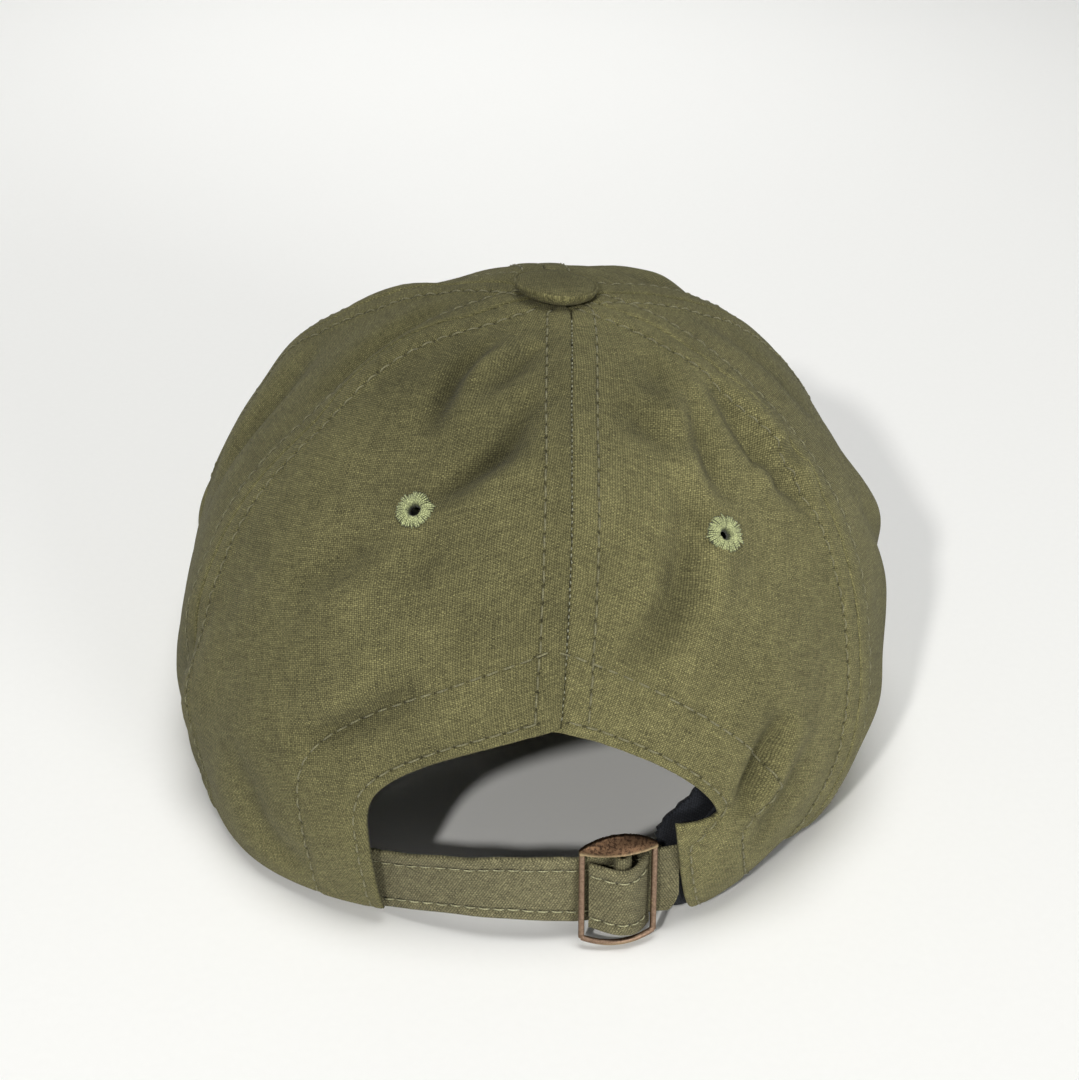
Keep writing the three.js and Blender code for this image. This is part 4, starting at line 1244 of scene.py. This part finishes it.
def opening_facing():
    """The tape that faces the opening's edge, from one hem's foot over the arch to the other's."""
    grows = np.linspace(0.9, FACING_WIDTH, 26)
    lines = []
    for grow in grows:
        right = row_places(grow, 1)
        # On the right hem the facing's folded edge shows past the panel.
        low_down = 1 - smooth((right[:, 1] - 0.07) / 0.05)
        right[:, 0] -= 2.8 * (1 - grow / FACING_WIDTH) * low_down
        left = row_places(grow, -1)
        lines.append(np.vstack([right, left[-2::-1]]))
    places = np.stack(lines)
    run = np.linspace(0, FACING_LENGTH, places.shape[1])
    across, along = np.broadcast_arrays(grows[:, None], run[None, :])
    depth = TAPE_DEPTH + 0.1 + 0 * across
    crown_layer("opening_facing", places[..., 0], places[..., 1], depth, TAPE_THICK, inner_tape,
                "inner_tape", ["rear_arch_facing"], across, along)


opening_facing()


def band_inside(depth, angle, up):
    """A depth inside the crown, with the band's step inwards at the back and its slow wave."""
    from_back = np.minimum(angle, 360 - angle)
    step_in = BAND_STEP_IN * (1 - smooth((from_back - 34) / 16))
    wave = 0.35 * np.sin(np.radians(angle) * 23) * np.sin(np.radians(angle) * 7 + 1.2) * up
    return depth + step_in + wave


def sweatband():
    start, end = BAND_RIGHT_END, 360 + BAND_LEFT_END
    up = np.linspace(0, 1, 30)[:, None]
    angle = np.linspace(start, end, 420)[None, :]
    cut_up, cut_back = np.transpose(BAND_CUT)
    ragged = np.interp(up, cut_up, cut_back) + 0.2 * np.sin(up * 61) + 0.15 * np.sin(up * 97 + 1)
    angle = angle + ragged * (1 - smooth((angle - start) / 20))
    tall = math.asin((BAND_TALL / CROWN_HEIGHT) ** (1 / RISE_POWER)) / (math.pi / 2)
    stands = 1 + BAND_RIGHT_RISE * np.exp(-((angle - 22) / 9) ** 2)
    share = 0.004 + tall * up * stands
    angle = angle + 0 * up
    # Beside the right hem its foot flares out to the rim.
    flare = np.exp(-((angle - 17) / 4.5) ** 2) * (1 - smooth(up / 0.16))
    depth = band_inside(BAND_DEPTH, angle, up) - BAND_FLARE * flare
    run = np.radians(angle) * BAND_RADIUS
    crown_layer("sweatband_cloth", angle, share, depth, BAND_THICK, inner_tape, "inner_tape",
                ["sweatband"], run, up * BAND_TALL + 0 * angle)
    rows = []
    for height in (0.10, 0.90):
        a = angle[0] + 9.0
        a = a[a < end - 1]
        s = np.full_like(a, 0.004 + tall * height)
        line = crown_line(a, s)
        line.normals *= -1
        deep = band_inside(BAND_DEPTH + BAND_THICK, a, height) - soft_relief(crown_point(a, s))
        lift = np.interp(np.linspace(0, 1, len(line.at)), np.linspace(0, 1, len(deep)), deep)
        rows.append(stitches(line, lift + 0.05, 3.4))
    add_stitching("sweatband_stitches", rows, dark_thread, slot="inner_tape")


sweatband()


# ---- Top button ----

def spun_profile(profile, count):
    """Points of a turned shape about +Z: (count, len(profile), 3)."""
    turn = np.linspace(0, 2 * math.pi, count, endpoint=False)
    radius, height = np.array(profile).T
    return np.stack([np.outer(np.cos(turn), radius), np.outer(np.sin(turn), radius),
                     np.tile(height, (count, 1))], -1)


def top_button():
    """A domed button covered in canvas that is gathered round its edge."""
    radius = (button_high.x - button_low.x) / 2 / MM
    tall = (button_high.z - button_low.z) / MM
    shares = np.sin(np.linspace(0, math.pi / 2, 30))
    dome = [(radius * 0.945 * t, 1.25 + (tall - 3.4) * (1 - t ** 2.6) ** 0.62) for t in shares]
    lip = [(radius * out, height) for out, height in BUTTON_LIP]
    profile = [(0.02, dome[0][1])] + dome[1:] + lip + [(radius * 0.5, -2.0), (0.02, -2.0)]
    count = 128
    points = spun_profile(profile, count)
    turn = np.arctan2(points[..., 1], points[..., 0])
    out = np.hypot(points[..., 0], points[..., 1]) / radius
    pleats = 0.09 * np.sin(turn * 19 + 1.5 * np.sin(turn * 3)) * smooth((out - 0.82) / 0.18)
    uneven = 0.12 * np.sin(turn * 2 + 0.7) * out + 0.06 * np.sin(turn * 5) * out
    points[..., 2] += uneven
    points[..., :2] *= (1 + pleats / radius)[..., None]
    size = len(profile)
    faces = []
    for i in range(count):
        for j in range(size - 1):
            a, b = i * size + j, i * size + j + 1
            c, d = (a + size) % (count * size), (b + size) % (count * size)
            faces.append([a, b, d, c])
    # The two ends of the profile close on a point each.
    flat = points.reshape(-1, 3)
    weave = np.stack([flat[:, 0] * 1.2, flat[:, 1] * 1.2, 0 * flat[:, 0] - 0.08], 1)
    top_ring = [i * size for i in range(count)]
    low_ring = [i * size + size - 1 for i in range(count)]
    faces += [top_ring[::-1], low_ring]
    # It sits askew: its edge at the back is raised, and its +X edge is low.
    about_x = Matrix.Rotation(math.radians(BUTTON_TILT_X), 3, "X")
    tilt = Matrix.Rotation(math.radians(BUTTON_TILT_Y), 3, "Y") @ about_x
    flat = flat @ np.array(tilt).T
    centre = np.array([button_middle.x, button_middle.y, button_low.z]) / MM - AXIS
    flat = flat + centre + [0, 0, BUTTON_RAISE]
    if signed_volume(flat, np.array(faces[:-2])) < 0:
        faces = [face[::-1] for face in faces]
    add_piece("button_cover", flat, faces, canvas, slot="canvas", stands_for=["top_button"],
              weave=weave, sewn=np.zeros_like(weave))


top_button()


# ---- Visor ----

def visor_length(angle):
    reach = np.maximum(np.cos(math.pi / 2 * angle / VISOR_HALF_ANGLE), 0) ** VISOR_FULLNESS
    return np.maximum(VISOR_END, VISOR_LONG * reach)


def visor_point(angle, out, drop):
    """A place on the visor, from the crown (out = 0) to its outer edge (out = 1)."""
    signed = np.where(angle < 0, -1, 1) * (180 - np.abs(angle))
    share = 0.05 + 0 * signed
    root = crown_point(signed, share) + crown_normal(signed, share) * VISOR_CLEAR
    length = visor_length(angle)
    away = unit(root * [1, 1, 0])
    slope = VISOR_SLOPE + VISOR_SIDE_SLOPE * np.sin(np.radians(angle)) ** 2
    run = (out * length)[..., None]
    place = root * [1, 1, 0] + away * run
    place[..., 2] = rim_lift(signed) + 0.3 + VISOR_THICK - drop - slope * run[..., 0]
    return place


def visor_cover(name, node, upper):
    """The visor's upper or under cover: a sheet whose outer edge rolls to meet the other one."""
    angle = np.linspace(-1, 1, 180)[None, :] * (VISOR_HALF_ANGLE - 0.3)
    out = np.concatenate([np.linspace(0, 0.9, 60), 1 - 0.1 * np.linspace(1, 0, 20)[1:] ** 1.6])[:, None]
    angle, out = np.broadcast_arrays(angle, out)
    half = VISOR_THICK / 2 - 0.04
    base = visor_point(angle, out, 0.0)
    edge = visor_point(angle, np.ones_like(out), 0.0)
    from_edge = np.linalg.norm(base - edge, axis=2)
    roll = half * (1 - np.sqrt(np.clip(1 - np.clip(1 - from_edge / half, 0, 1) ** 2, 0, 1)))
    drop = roll if upper else VISOR_THICK - roll
    rows = [visor_row(distance, upper) for distance in VISOR_ROWS]
    sheet = visor_point(angle, out, drop)
    flat = sheet.reshape(-1, 3)
    gap, count = nearest_row(flat, rows)
    way = 1 if upper else -1
    dent = 0.30 * np.exp(-(gap / 0.6) ** 2) * (0.75 + 0.25 * np.cos(2 * math.pi * count))
    puff = 0.16 * np.exp(-((gap - 2.6) / 1.2) ** 2)
    face = flat + np.array([0, 0, way]) * (puff - dent)[:, None]
    inner_edge = np.clip(from_edge.ravel() / half, 0, 1)
    back = flat - np.array([0, 0, way]) * (0.55 * np.maximum(inner_edge, 0.25))[:, None]
    back += unit(back * [-1, -1, 0]) * (0.55 * (1 - inner_edge))[:, None]
    points, faces, used = shell(face.reshape(sheet.shape), back.reshape(sheet.shape))
    weave = np.stack([flat[:, 0], flat[:, 1], 0 * gap], 1)
    sewn = np.stack([SEWN_REACH - gap, count, 0 * gap], 1)
    add_piece(name, points, faces, canvas, slot="canvas", stands_for=[node],
              weave=on_both(weave, used), sewn=np.vstack([sewn, 0 * sewn])[used])
    lifts = []
    for line in rows:
        if not upper:
            line.normals *= -1
        lift = np.full(len(line.at), -0.26)
        lifts.append(stitches(line, lift, CROWN_PITCH))
    add_stitching(name + "_stitches", lifts, row_thread)


def visor_row(from_edge, upper):
    """A row of stitches that runs round the visor a distance inside its outer edge."""
    angle = np.linspace(-VISOR_HALF_ANGLE, VISOR_HALF_ANGLE, 400)
    length = visor_length(angle)
    inside = length > from_edge + 1.5
    angle, length = angle[inside], length[inside]
    points = visor_point(angle, 1 - from_edge / length, 0.0 if upper else VISOR_THICK)
    normals = np.tile([0.0, 0.0, 1.0], (len(points), 1))
    return Line(points, normals)


visor_cover("visor_upper_cloth", "visor_top_cover", True)
visor_cover("visor_under_cloth", "visor_under_cover", False)


# ---- Closure: the strap ----

def strap_radius(angle):
    return STRAP_RADIUS + STRAP_SPREAD * smooth((np.abs(angle) - STRAP_ARC) / 12)


def strap_point(angle, radius, z):
    turn = np.radians(angle)
    x, y = STRAP_CENTRE
    return np.stack(np.broadcast_arrays(x + radius * np.sin(turn), y - radius * np.cos(turn), z), -1)


STRAP_ROW = 3.0                         # from the strap's edges to its rows of stitches
STRAP_PITCH = 3.3
STRAP_GRAIN = 28                        # how far its weave is turned, in degrees
# Where a folded band's points lie, from each of its edges to where its face is flat.
BAND_RAILS = np.array([0, 0.15, 0.35, 0.6, 1.0, 1.6, 2.2, 2.6, 2.9, 3.2, 3.6, 4.2])
BAND_FLAT = 4.8


def strap_place(angle, off, height):
    """A place on the strap: off from its outer face, and up from its lower edge."""
    run = np.radians(angle) * STRAP_RADIUS
    up = height - STRAP_WIDTH / 2
    # It twists along its length: the upper edge leans out at its left end, the lower at its right.
    lean = np.clip(0.057 + 0.0055 * angle, -0.1, 0.11)
    middle = STRAP_CREST - STRAP_SAG * (np.clip(angle, -29.5, 7) + 6) ** 2
    wave = (0.26 * np.sin(run / 6.5 + 0.6) + 0.12 * np.sin(run / 2.1)) * (height / STRAP_WIDTH) ** 3
    ripple = 0.014 * np.sin(run / 5.1) * up + 0.07 * np.sin(run / 2.3 + 1)
    return strap_point(angle, strap_radius(angle) + off + ripple - lean * up, middle + up + wave)


def band_face(up, width):
    """A folded band's outer relief across its width: rounded edges and two stitched grooves."""
    from_edge = np.minimum(up, 1 - up) * width
    round_off = 0.55 * (1 - np.sqrt(1 - np.clip(1 - from_edge / 0.6, 0, 1) ** 2))
    groove = 0.22 * np.exp(-((from_edge - STRAP_ROW) / 0.45) ** 2)
    pad = 0.14 * np.exp(-((from_edge - 1.2) / 0.8) ** 2)
    return pad - groove - round_off


def band_rows(tall, middle):
    """Shares of the way up a folded band, close together at both of its stitched edges."""
    inner = np.linspace(BAND_FLAT, tall - BAND_FLAT, middle)
    return (np.concatenate([BAND_RAILS, inner, tall - BAND_RAILS[::-1]]) / tall)[:, None]


def band_sewn(up, tall, run):
    """How near each point of a folded band is to its rows of stitches, and its count along."""
    gap = np.abs(np.minimum(up, 1 - up) * tall - STRAP_ROW).ravel()
    return np.stack([SEWN_REACH - np.minimum(gap, SEWN_REACH), run / STRAP_PITCH, 0 * gap], 1)


def closure_strap():
    angle = np.linspace(STRAP_FROM, STRAP_TO, 300)[None, :]
    angle, up = np.broadcast_arrays(angle, band_rows(STRAP_WIDTH, 12))
    run = np.radians(angle) * STRAP_RADIUS
    face = band_face(up, STRAP_WIDTH)
    outer = strap_place(angle, face, up * STRAP_WIDTH)
    inner = strap_place(angle, -STRAP_THICK - 0.5 * face, up * STRAP_WIDTH)
    points, faces, used = shell(outer, inner)
    weave = turned(run.ravel(), (up * STRAP_WIDTH).ravel(), STRAP_GRAIN, 0.0)
    start = np.radians(STRAP_FROM) * STRAP_RADIUS
    sewn = band_sewn(up, STRAP_WIDTH, run.ravel() - start)
    add_piece("strap_cloth", points, faces, strap_canvas, slot="strap_canvas",
              stands_for=["closure_strap"], weave=on_both(weave, used),
              sewn=np.vstack([sewn, 0 * sewn])[used])
    rows = []
    line_angle = np.linspace(STRAP_FROM, STRAP_TO, 300)
    for offset in (STRAP_ROW, STRAP_WIDTH - STRAP_ROW):
        points = strap_place(line_angle, 0.0, offset)
        turn = np.radians(line_angle)
        normals = np.stack([np.sin(turn), -np.cos(turn), 0 * turn], 1)
        line = Line(points, normals)
        thick = 0.17 if offset == STRAP_ROW else 0.13
        rows.append(stitches(line, np.zeros(len(line.at)), STRAP_PITCH, radius=thick))
    add_stitching("strap_stitches", rows, pale_thread, slot="strap_canvas")


closure_strap()


# ---- Closure: buckle, tab and bight ----

def at_buckle(points, swing=0.0, lean=6.0):
    """Points made with X along the strap, Y out of the head and Z up, in place at the buckle."""
    turn = math.radians(BUCKLE_ANGLE + swing)
    along = np.array([math.cos(turn), math.sin(turn), 0.0])
    out = np.array([math.sin(turn), -math.cos(turn), 0.0])
    middle = strap_point(BUCKLE_ANGLE, BAR_RADIUS, BUCKLE_MIDDLE)
    x, depth, z = np.moveaxis(np.asarray(points, float), -1, 0)[..., None]
    tilt = math.radians(lean)
    level = z * math.cos(tilt) + depth * math.sin(tilt)
    depth = depth * math.cos(tilt) - z * math.sin(tilt)
    return middle + x * along + depth * out + level * np.array([0, 0, 1.0])


BIGHT_LEFT, BIGHT_RIGHT, BIGHT_CREST = -7.6, 7.2, 3.7


def bight_path(x):
    """How far out of the head the strap's raised bight lies at a place along the strap."""
    foot = STRAP_RADIUS + 1.25 - BAR_RADIUS
    share = np.where(x < 0, x / BIGHT_LEFT, x / BIGHT_RIGHT)
    return foot + (BIGHT_CREST - foot) * np.cos(math.pi / 2 * np.clip(share, 0, 1)) ** 1.15


def bight_level(x, share, tall):
    """The height on the bight a share of the way up it, where it droops at its crest."""
    droop = 0.6 * np.cos(math.pi / 2 * np.clip(np.abs(x) / 7, 0, 1))
    return (share - 0.5) * tall - droop - 0.75 - 2.3 * smooth((x + 1) / 8) * (1 - share)


def strap_bight():
    tall = STRAP_WIDTH + 0.2
    x = np.linspace(BIGHT_LEFT, BIGHT_RIGHT, 90)[None, :]
    x, up = np.broadcast_arrays(x, band_rows(tall, 10))
    out = bight_path(x)
    slope = np.gradient(bight_path(x[0]), x[0])[None, :] + 0 * up
    lean = np.arctan(slope)
    z = bight_level(x, up, tall)
    face = band_face(up, tall)
    outer = np.stack([x - np.sin(lean) * face, out + np.cos(lean) * face, z], -1)
    back = 1.15 + 0.4 * face
    inner = np.stack([x + np.sin(lean) * back, out - np.cos(lean) * back, z], -1)
    points, faces, used = shell(at_buckle(outer), at_buckle(inner))
    run = np.cumsum(np.hypot(1, slope[0])) * (x[0, 1] - x[0, 0])
    run = np.broadcast_to(run, x.shape).ravel()
    weave = turned(run, (up * tall).ravel(), STRAP_GRAIN, 0.0)
    sewn = band_sewn(up, tall, run)
    add_piece("bight_cloth", points, faces, strap_canvas, "slider", "strap_canvas",
              ["strap_bight"], weave=on_both(weave, used), sewn=np.vstack([sewn, 0 * sewn])[used])
    rows = []
    line_x, line_out, line_lean = x[0], bight_path(x[0]), lean[0]
    for share in (STRAP_ROW / tall, 1 - STRAP_ROW / tall):
        level = bight_level(line_x, share, tall)
        points = at_buckle(np.stack([line_x, line_out - 0.08, level], -1))
        foot = at_buckle(np.stack([line_x, line_out, level], -1))
        tip = np.stack([line_x - np.sin(line_lean), line_out + np.cos(line_lean), level], -1)
        line = Line(points, at_buckle(tip) - foot)
        rows.append(stitches(line, np.zeros(len(line.at)), STRAP_PITCH, radius=0.16))
    add_stitching("bight_stitches", rows, pale_thread, "slider", "strap_canvas")


strap_bight()


TAIL_FROM, TAIL_TO = 6.4, 13.5          # along the strap, from the buckle's middle


def strap_tail():
    """The strap's loose end, which leaves the buckle and lies on the strap up to the right hem."""
    x = np.linspace(TAIL_FROM, TAIL_TO, 40)[None, :]
    tall = STRAP_WIDTH - 0.2
    x, up = np.broadcast_arrays(x, band_rows(tall, 10))
    share = (x - TAIL_FROM) / (TAIL_TO - TAIL_FROM)
    # The end is cut a little round, and its free corner curls off.
    x = x - 0.5 * share * (2 * up - 1) ** 4 - 2.6 * share * np.clip(1 - up / 0.22, 0, 1) ** 1.6
    curve = BAR_RADIUS - np.sqrt(BAR_RADIUS ** 2 - x ** 2)
    out = STRAP_RADIUS - BAR_RADIUS - curve + 1.4 + 3.3 * share ** 1.2 + 0.12 * np.sin(9 * up)
    face = band_face(up, tall)
    z = (up - 0.5) * tall - 0.6 + 1.6 * share
    outer = np.stack([x, out + face, z], -1)
    inner = np.stack([x, out - 1.1 - 0.4 * face, z], -1)
    points, faces, used = shell(at_buckle(outer), at_buckle(inner))
    weave = np.stack([x + up * tall * 0.5, up * tall - x * 0.5, 0 * x], -1).reshape(-1, 3)
    add_piece("tail_cloth", points, faces, strap_canvas, "slider", "strap_canvas",
              weave=on_both(weave, used), sewn=np.zeros((len(used), 3)))


strap_tail()


def buckle_tab():
    """The short loop of cloth round the buckle's hidden bar, folded over at its top."""
    tall = STRAP_WIDTH + 2.2
    turn = np.linspace(0, 2 * math.pi, 49)[None, :]
    up = np.linspace(0, 1, 26)[:, None]
    turn, up = np.broadcast_arrays(turn, up)
    squeeze = 1 + 0.10 * np.sin(2 * turn + 3 * up)
    radius = 2.05 * squeeze - 0.15 * (np.abs(2 * up - 1)) ** 8
    z = (up - 0.5) * tall
    outer = np.stack([radius * np.cos(turn), radius * np.sin(turn), z], -1)[:, :-1]
    inner = outer * [0.68, 0.68, 1.0]
    rows, columns = outer.shape[:2]
    size = rows * columns
    at = np.arange(size).reshape(rows, columns)
    after = np.roll(at, -1, 1)
    face = wrapped_quads(at)
    foot = np.stack([after[0], at[0], at[0] + size, after[0] + size], -1)
    head = np.stack([at[-1], after[-1], after[-1] + size, at[-1] + size], -1)
    faces = np.vstack([face, face[:, ::-1] + size, foot, head])
    points = np.vstack([outer.reshape(-1, 3), inner.reshape(-1, 3)])
    if signed_volume(points, faces) < 0:
        faces = faces[:, ::-1]
    weave = np.stack([turn[:, :-1] * 2.1, z[:, :-1], 0 * z[:, :-1]], -1).reshape(-1, 3)
    add_piece("tab_cloth", at_buckle(points), faces, strap_canvas, "slider", "strap_canvas",
              ["buckle_tab"], weave=np.vstack([weave, weave]), sewn=np.zeros((len(points), 3)))


buckle_tab()


def buckle_frame():
    """A cast slide buckle: a leaf-shaped domed top, straight sides and a bowed bottom bar."""
    half = BUCKLE_WIDE / 2
    side_x = half - BUCKLE_BAR / 2
    low, high = BUCKLE_LOW, BUCKLE_HIGH
    parts = []

    def bar(path, wide, deep):
        """A rounded bar along a path of points, with its width across and its depth out."""
        path = np.asarray(path, float)
        forward = unit(np.gradient(path, axis=0))
        outward = np.array([0.0, 1.0, 0.0])
        side = unit(np.cross(forward, outward))
        up = np.cross(side, forward)
        turn = np.linspace(0, 2 * math.pi, 17)[:-1]
        cos, sin = np.cos(turn), np.sin(turn)
        ring_x = np.sign(cos) * np.abs(cos) ** 0.7 * wide / 2
        ring_y = np.sign(sin) * np.abs(sin) ** 0.7 * deep / 2
        points = path[:, None] + ring_x[:, None] * side[:, None] + ring_y[:, None] * up[:, None]
        count, ring = points.shape[:2]
        at = np.arange(count * ring).reshape(count, ring)
        ends = [at[0, ::-1].tolist(), at[-1].tolist()]
        parts.append((points.reshape(-1, 3), wrapped_quads(at).tolist() + ends))

    for side in (-1, 1):
        z = np.linspace(low + 2.0, high - 3.4, 30)
        bar(np.stack([np.full(30, side * side_x), 0 * z, z], 1), BUCKLE_BAR, BUCKLE_DEEP)
    z = np.linspace(low + 1.6, high - 3.2, 20)
    bar(np.stack([0 * z, 0 * z - 0.05, z], 1), BUCKLE_THIN, 1.2)
    x = np.linspace(-side_x, side_x, 50)
    bow = 1 - (x / side_x) ** 2
    bar(np.stack([x, 1.5 * bow, low + 2.0 - 1.35 * bow], 1), BUCKLE_THIN, BUCKLE_THIN)

    # The leaf: its lower edge bows outwards, its upper edge is an arc that leans back to the head.
    x = np.linspace(-1, 1, 61)[None, :]
    v = np.linspace(0, 1, 21)[:, None]
    x, v = np.broadcast_arrays(x, v)
    bow = 1 - x ** 2
    bottom = high - 3.9 - 0.1 * bow
    top = high - 3.0 + 3.0 * bow ** 0.85
    level = bottom + (top - bottom) * v
    front = 0.65 + 2.3 * bow * (1 - 0.72 * v ** 1.6) - 0.5 * v ** 3 * bow
    thick = 1.2 + 0.1 * bow
    outer = np.stack([x * half, front, level], -1)
    inner = np.stack([x * half, front - thick, level], -1)
    leaf_points, leaf_faces, _ = shell(outer, inner)
    parts.append((leaf_points, leaf_faces.tolist()))

    points, faces = joined(parts)
    mesh = bpy.data.meshes.new("buckle_rough")
    points = at_buckle(points + [-1.0, 0.0, 0.0], BUCKLE_SWING, BUCKLE_LEAN)
    mesh.from_pydata(to_frame(points).tolist(), [], faces)
    rough = placed("buckle_cast", mesh)
    fuse = rough.modifiers.new("fuse", "REMESH")
    fuse.mode = "VOXEL"
    fuse.voxel_size = 0.16 * MM
    ease = rough.modifiers.new("ease", "SMOOTH")
    ease.factor = 0.5
    ease.iterations = 5
    graph = bpy.context.evaluated_depsgraph_get()
    cast = bpy.data.meshes.new_from_object(rough.evaluated_get(graph))
    bpy.data.objects.remove(rough)
    cast.shade_smooth()
    cast.materials.clear()
    cast.materials.append(brass)
    # The domed top kept its dark patina; the leaf's lower lip and the bottom bar get a painted
    # highlight.
    co = np.zeros(len(cast.vertices) * 3)
    cast.vertices.foreach_get("co", co)
    height = co.reshape(-1, 3)[:, 2] / MM - BUCKLE_MIDDLE
    patina = smooth((height - (high - 4.4)) / 0.9)
    # A painted highlight along the leaf's lower lip and on the bottom bar.
    lip = np.exp(-((height - (high - 3.75)) / 0.42) ** 2)
    foot = smooth((low + 1.6 - height) / 0.8)
    layer = cast.attributes.new("patina", "FLOAT_VECTOR", "POINT")
    wear_and_painted_light = np.stack([patina, np.maximum(lip, 0.6 * foot), 0 * lip], 1)
    layer.data.foreach_set("vector", wear_and_painted_light.ravel().astype(np.float32))
    piece = placed("buckle_casting", cast)
    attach(piece, "buckle")
    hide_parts("buckle_frame")


buckle_frame()


# ---- CAD pieces that stay ----

for node_name, material in (("button_rivet", steel), ("visor_board", board_plastic)):
    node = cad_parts[node_name]
    node.data.materials.clear()
    node.data.materials.append(material)


# ---- Floor, light and camera ----

FLOOR_HALF, FLOOR_DROP = 4.0, 0.0002    # in metres, as is all that follows
LAMP_TARGET = (0.0, -0.03, 0.05)
CAMERA_PLACE = (-0.0361, -0.4389, 0.2984)
CAMERA_AIM = (0.0050, -0.0372, 0.0483)
CAMERA_LENS, CAMERA_ROLL = 61.67, 2.43  # focal length in millimetres, roll in degrees


def studio():
    mesh = bpy.data.meshes.new("floor")
    size = FLOOR_HALF
    mesh.from_pydata([(-size, -size, 0), (size, -size, 0), (size, size, 0), (-size, size, 0)], [],
                     [(0, 1, 2, 3)])
    mesh.materials.append(studio_floor())
    floor = placed("floor", mesh)
    floor.location.z = -FLOOR_DROP

    world = bpy.data.worlds.new("studio")
    bpy.context.scene.world = world
    world.use_nodes = True
    sky = world.node_tree.nodes["Background"]
    sky.inputs["Color"].default_value = (0.95, 0.97, 1.0, 1.0)
    sky.inputs["Strength"].default_value = 0.13

    def lamp(name, azimuth, elevation, distance, size, power, colour, target=LAMP_TARGET):
        """An area lamp that shines at a target; azimuth 0 is behind the head, 90 is at +X."""
        data = bpy.data.lights.new(name, "AREA")
        data.shape = "DISK"
        data.size = size
        data.energy = power
        data.color = colour
        item = placed(name, data)
        turn, rise = math.radians(azimuth), math.radians(elevation)
        way = Vector((math.sin(turn) * math.cos(rise), -math.cos(turn) * math.cos(rise),
                      math.sin(rise)))
        item.location = Vector(target) + way * distance
        item.rotation_euler = (-way).to_track_quat("-Z", "Y").to_euler()
        return data

    lamp("key", -27, 33, 2.6, 0.16, 31.5, (1.0, 0.985, 0.96))
    lamp("overhead", 0, 86, 2.5, 1.5, 35.0, (1.0, 1.0, 1.0))
    lamp("fill", 30, 9, 2.2, 1.0, 25.0, (1.0, 0.995, 0.98))
    # A lamp with a narrow spread lights only the floor beyond the cap.
    backdrop = lamp("backdrop", 0, 90, 1.0, 0.6, 0.3, (1.0, 1.0, 1.0), (0.0, 0.62, 0.0))
    backdrop.spread = math.radians(50)


def photographer():
    """The camera stands behind the head, above and a little to the left, and is slightly rolled."""
    data = bpy.data.cameras.new("camera")
    data.sensor_width = 36.0
    data.lens = CAMERA_LENS
    camera = placed("camera", data)
    stand, aim = Vector(CAMERA_PLACE), Vector(CAMERA_AIM)
    turn = (aim - stand).to_track_quat("-Z", "Y").to_matrix()
    roll = Matrix.Rotation(math.radians(CAMERA_ROLL), 3, "Z")
    camera.matrix_world = Matrix.Translation(stand) @ (turn @ roll).to_4x4()
    bpy.context.scene.camera = camera


studio()
photographer()
bpy.context.scene.view_settings.view_transform = "Standard"
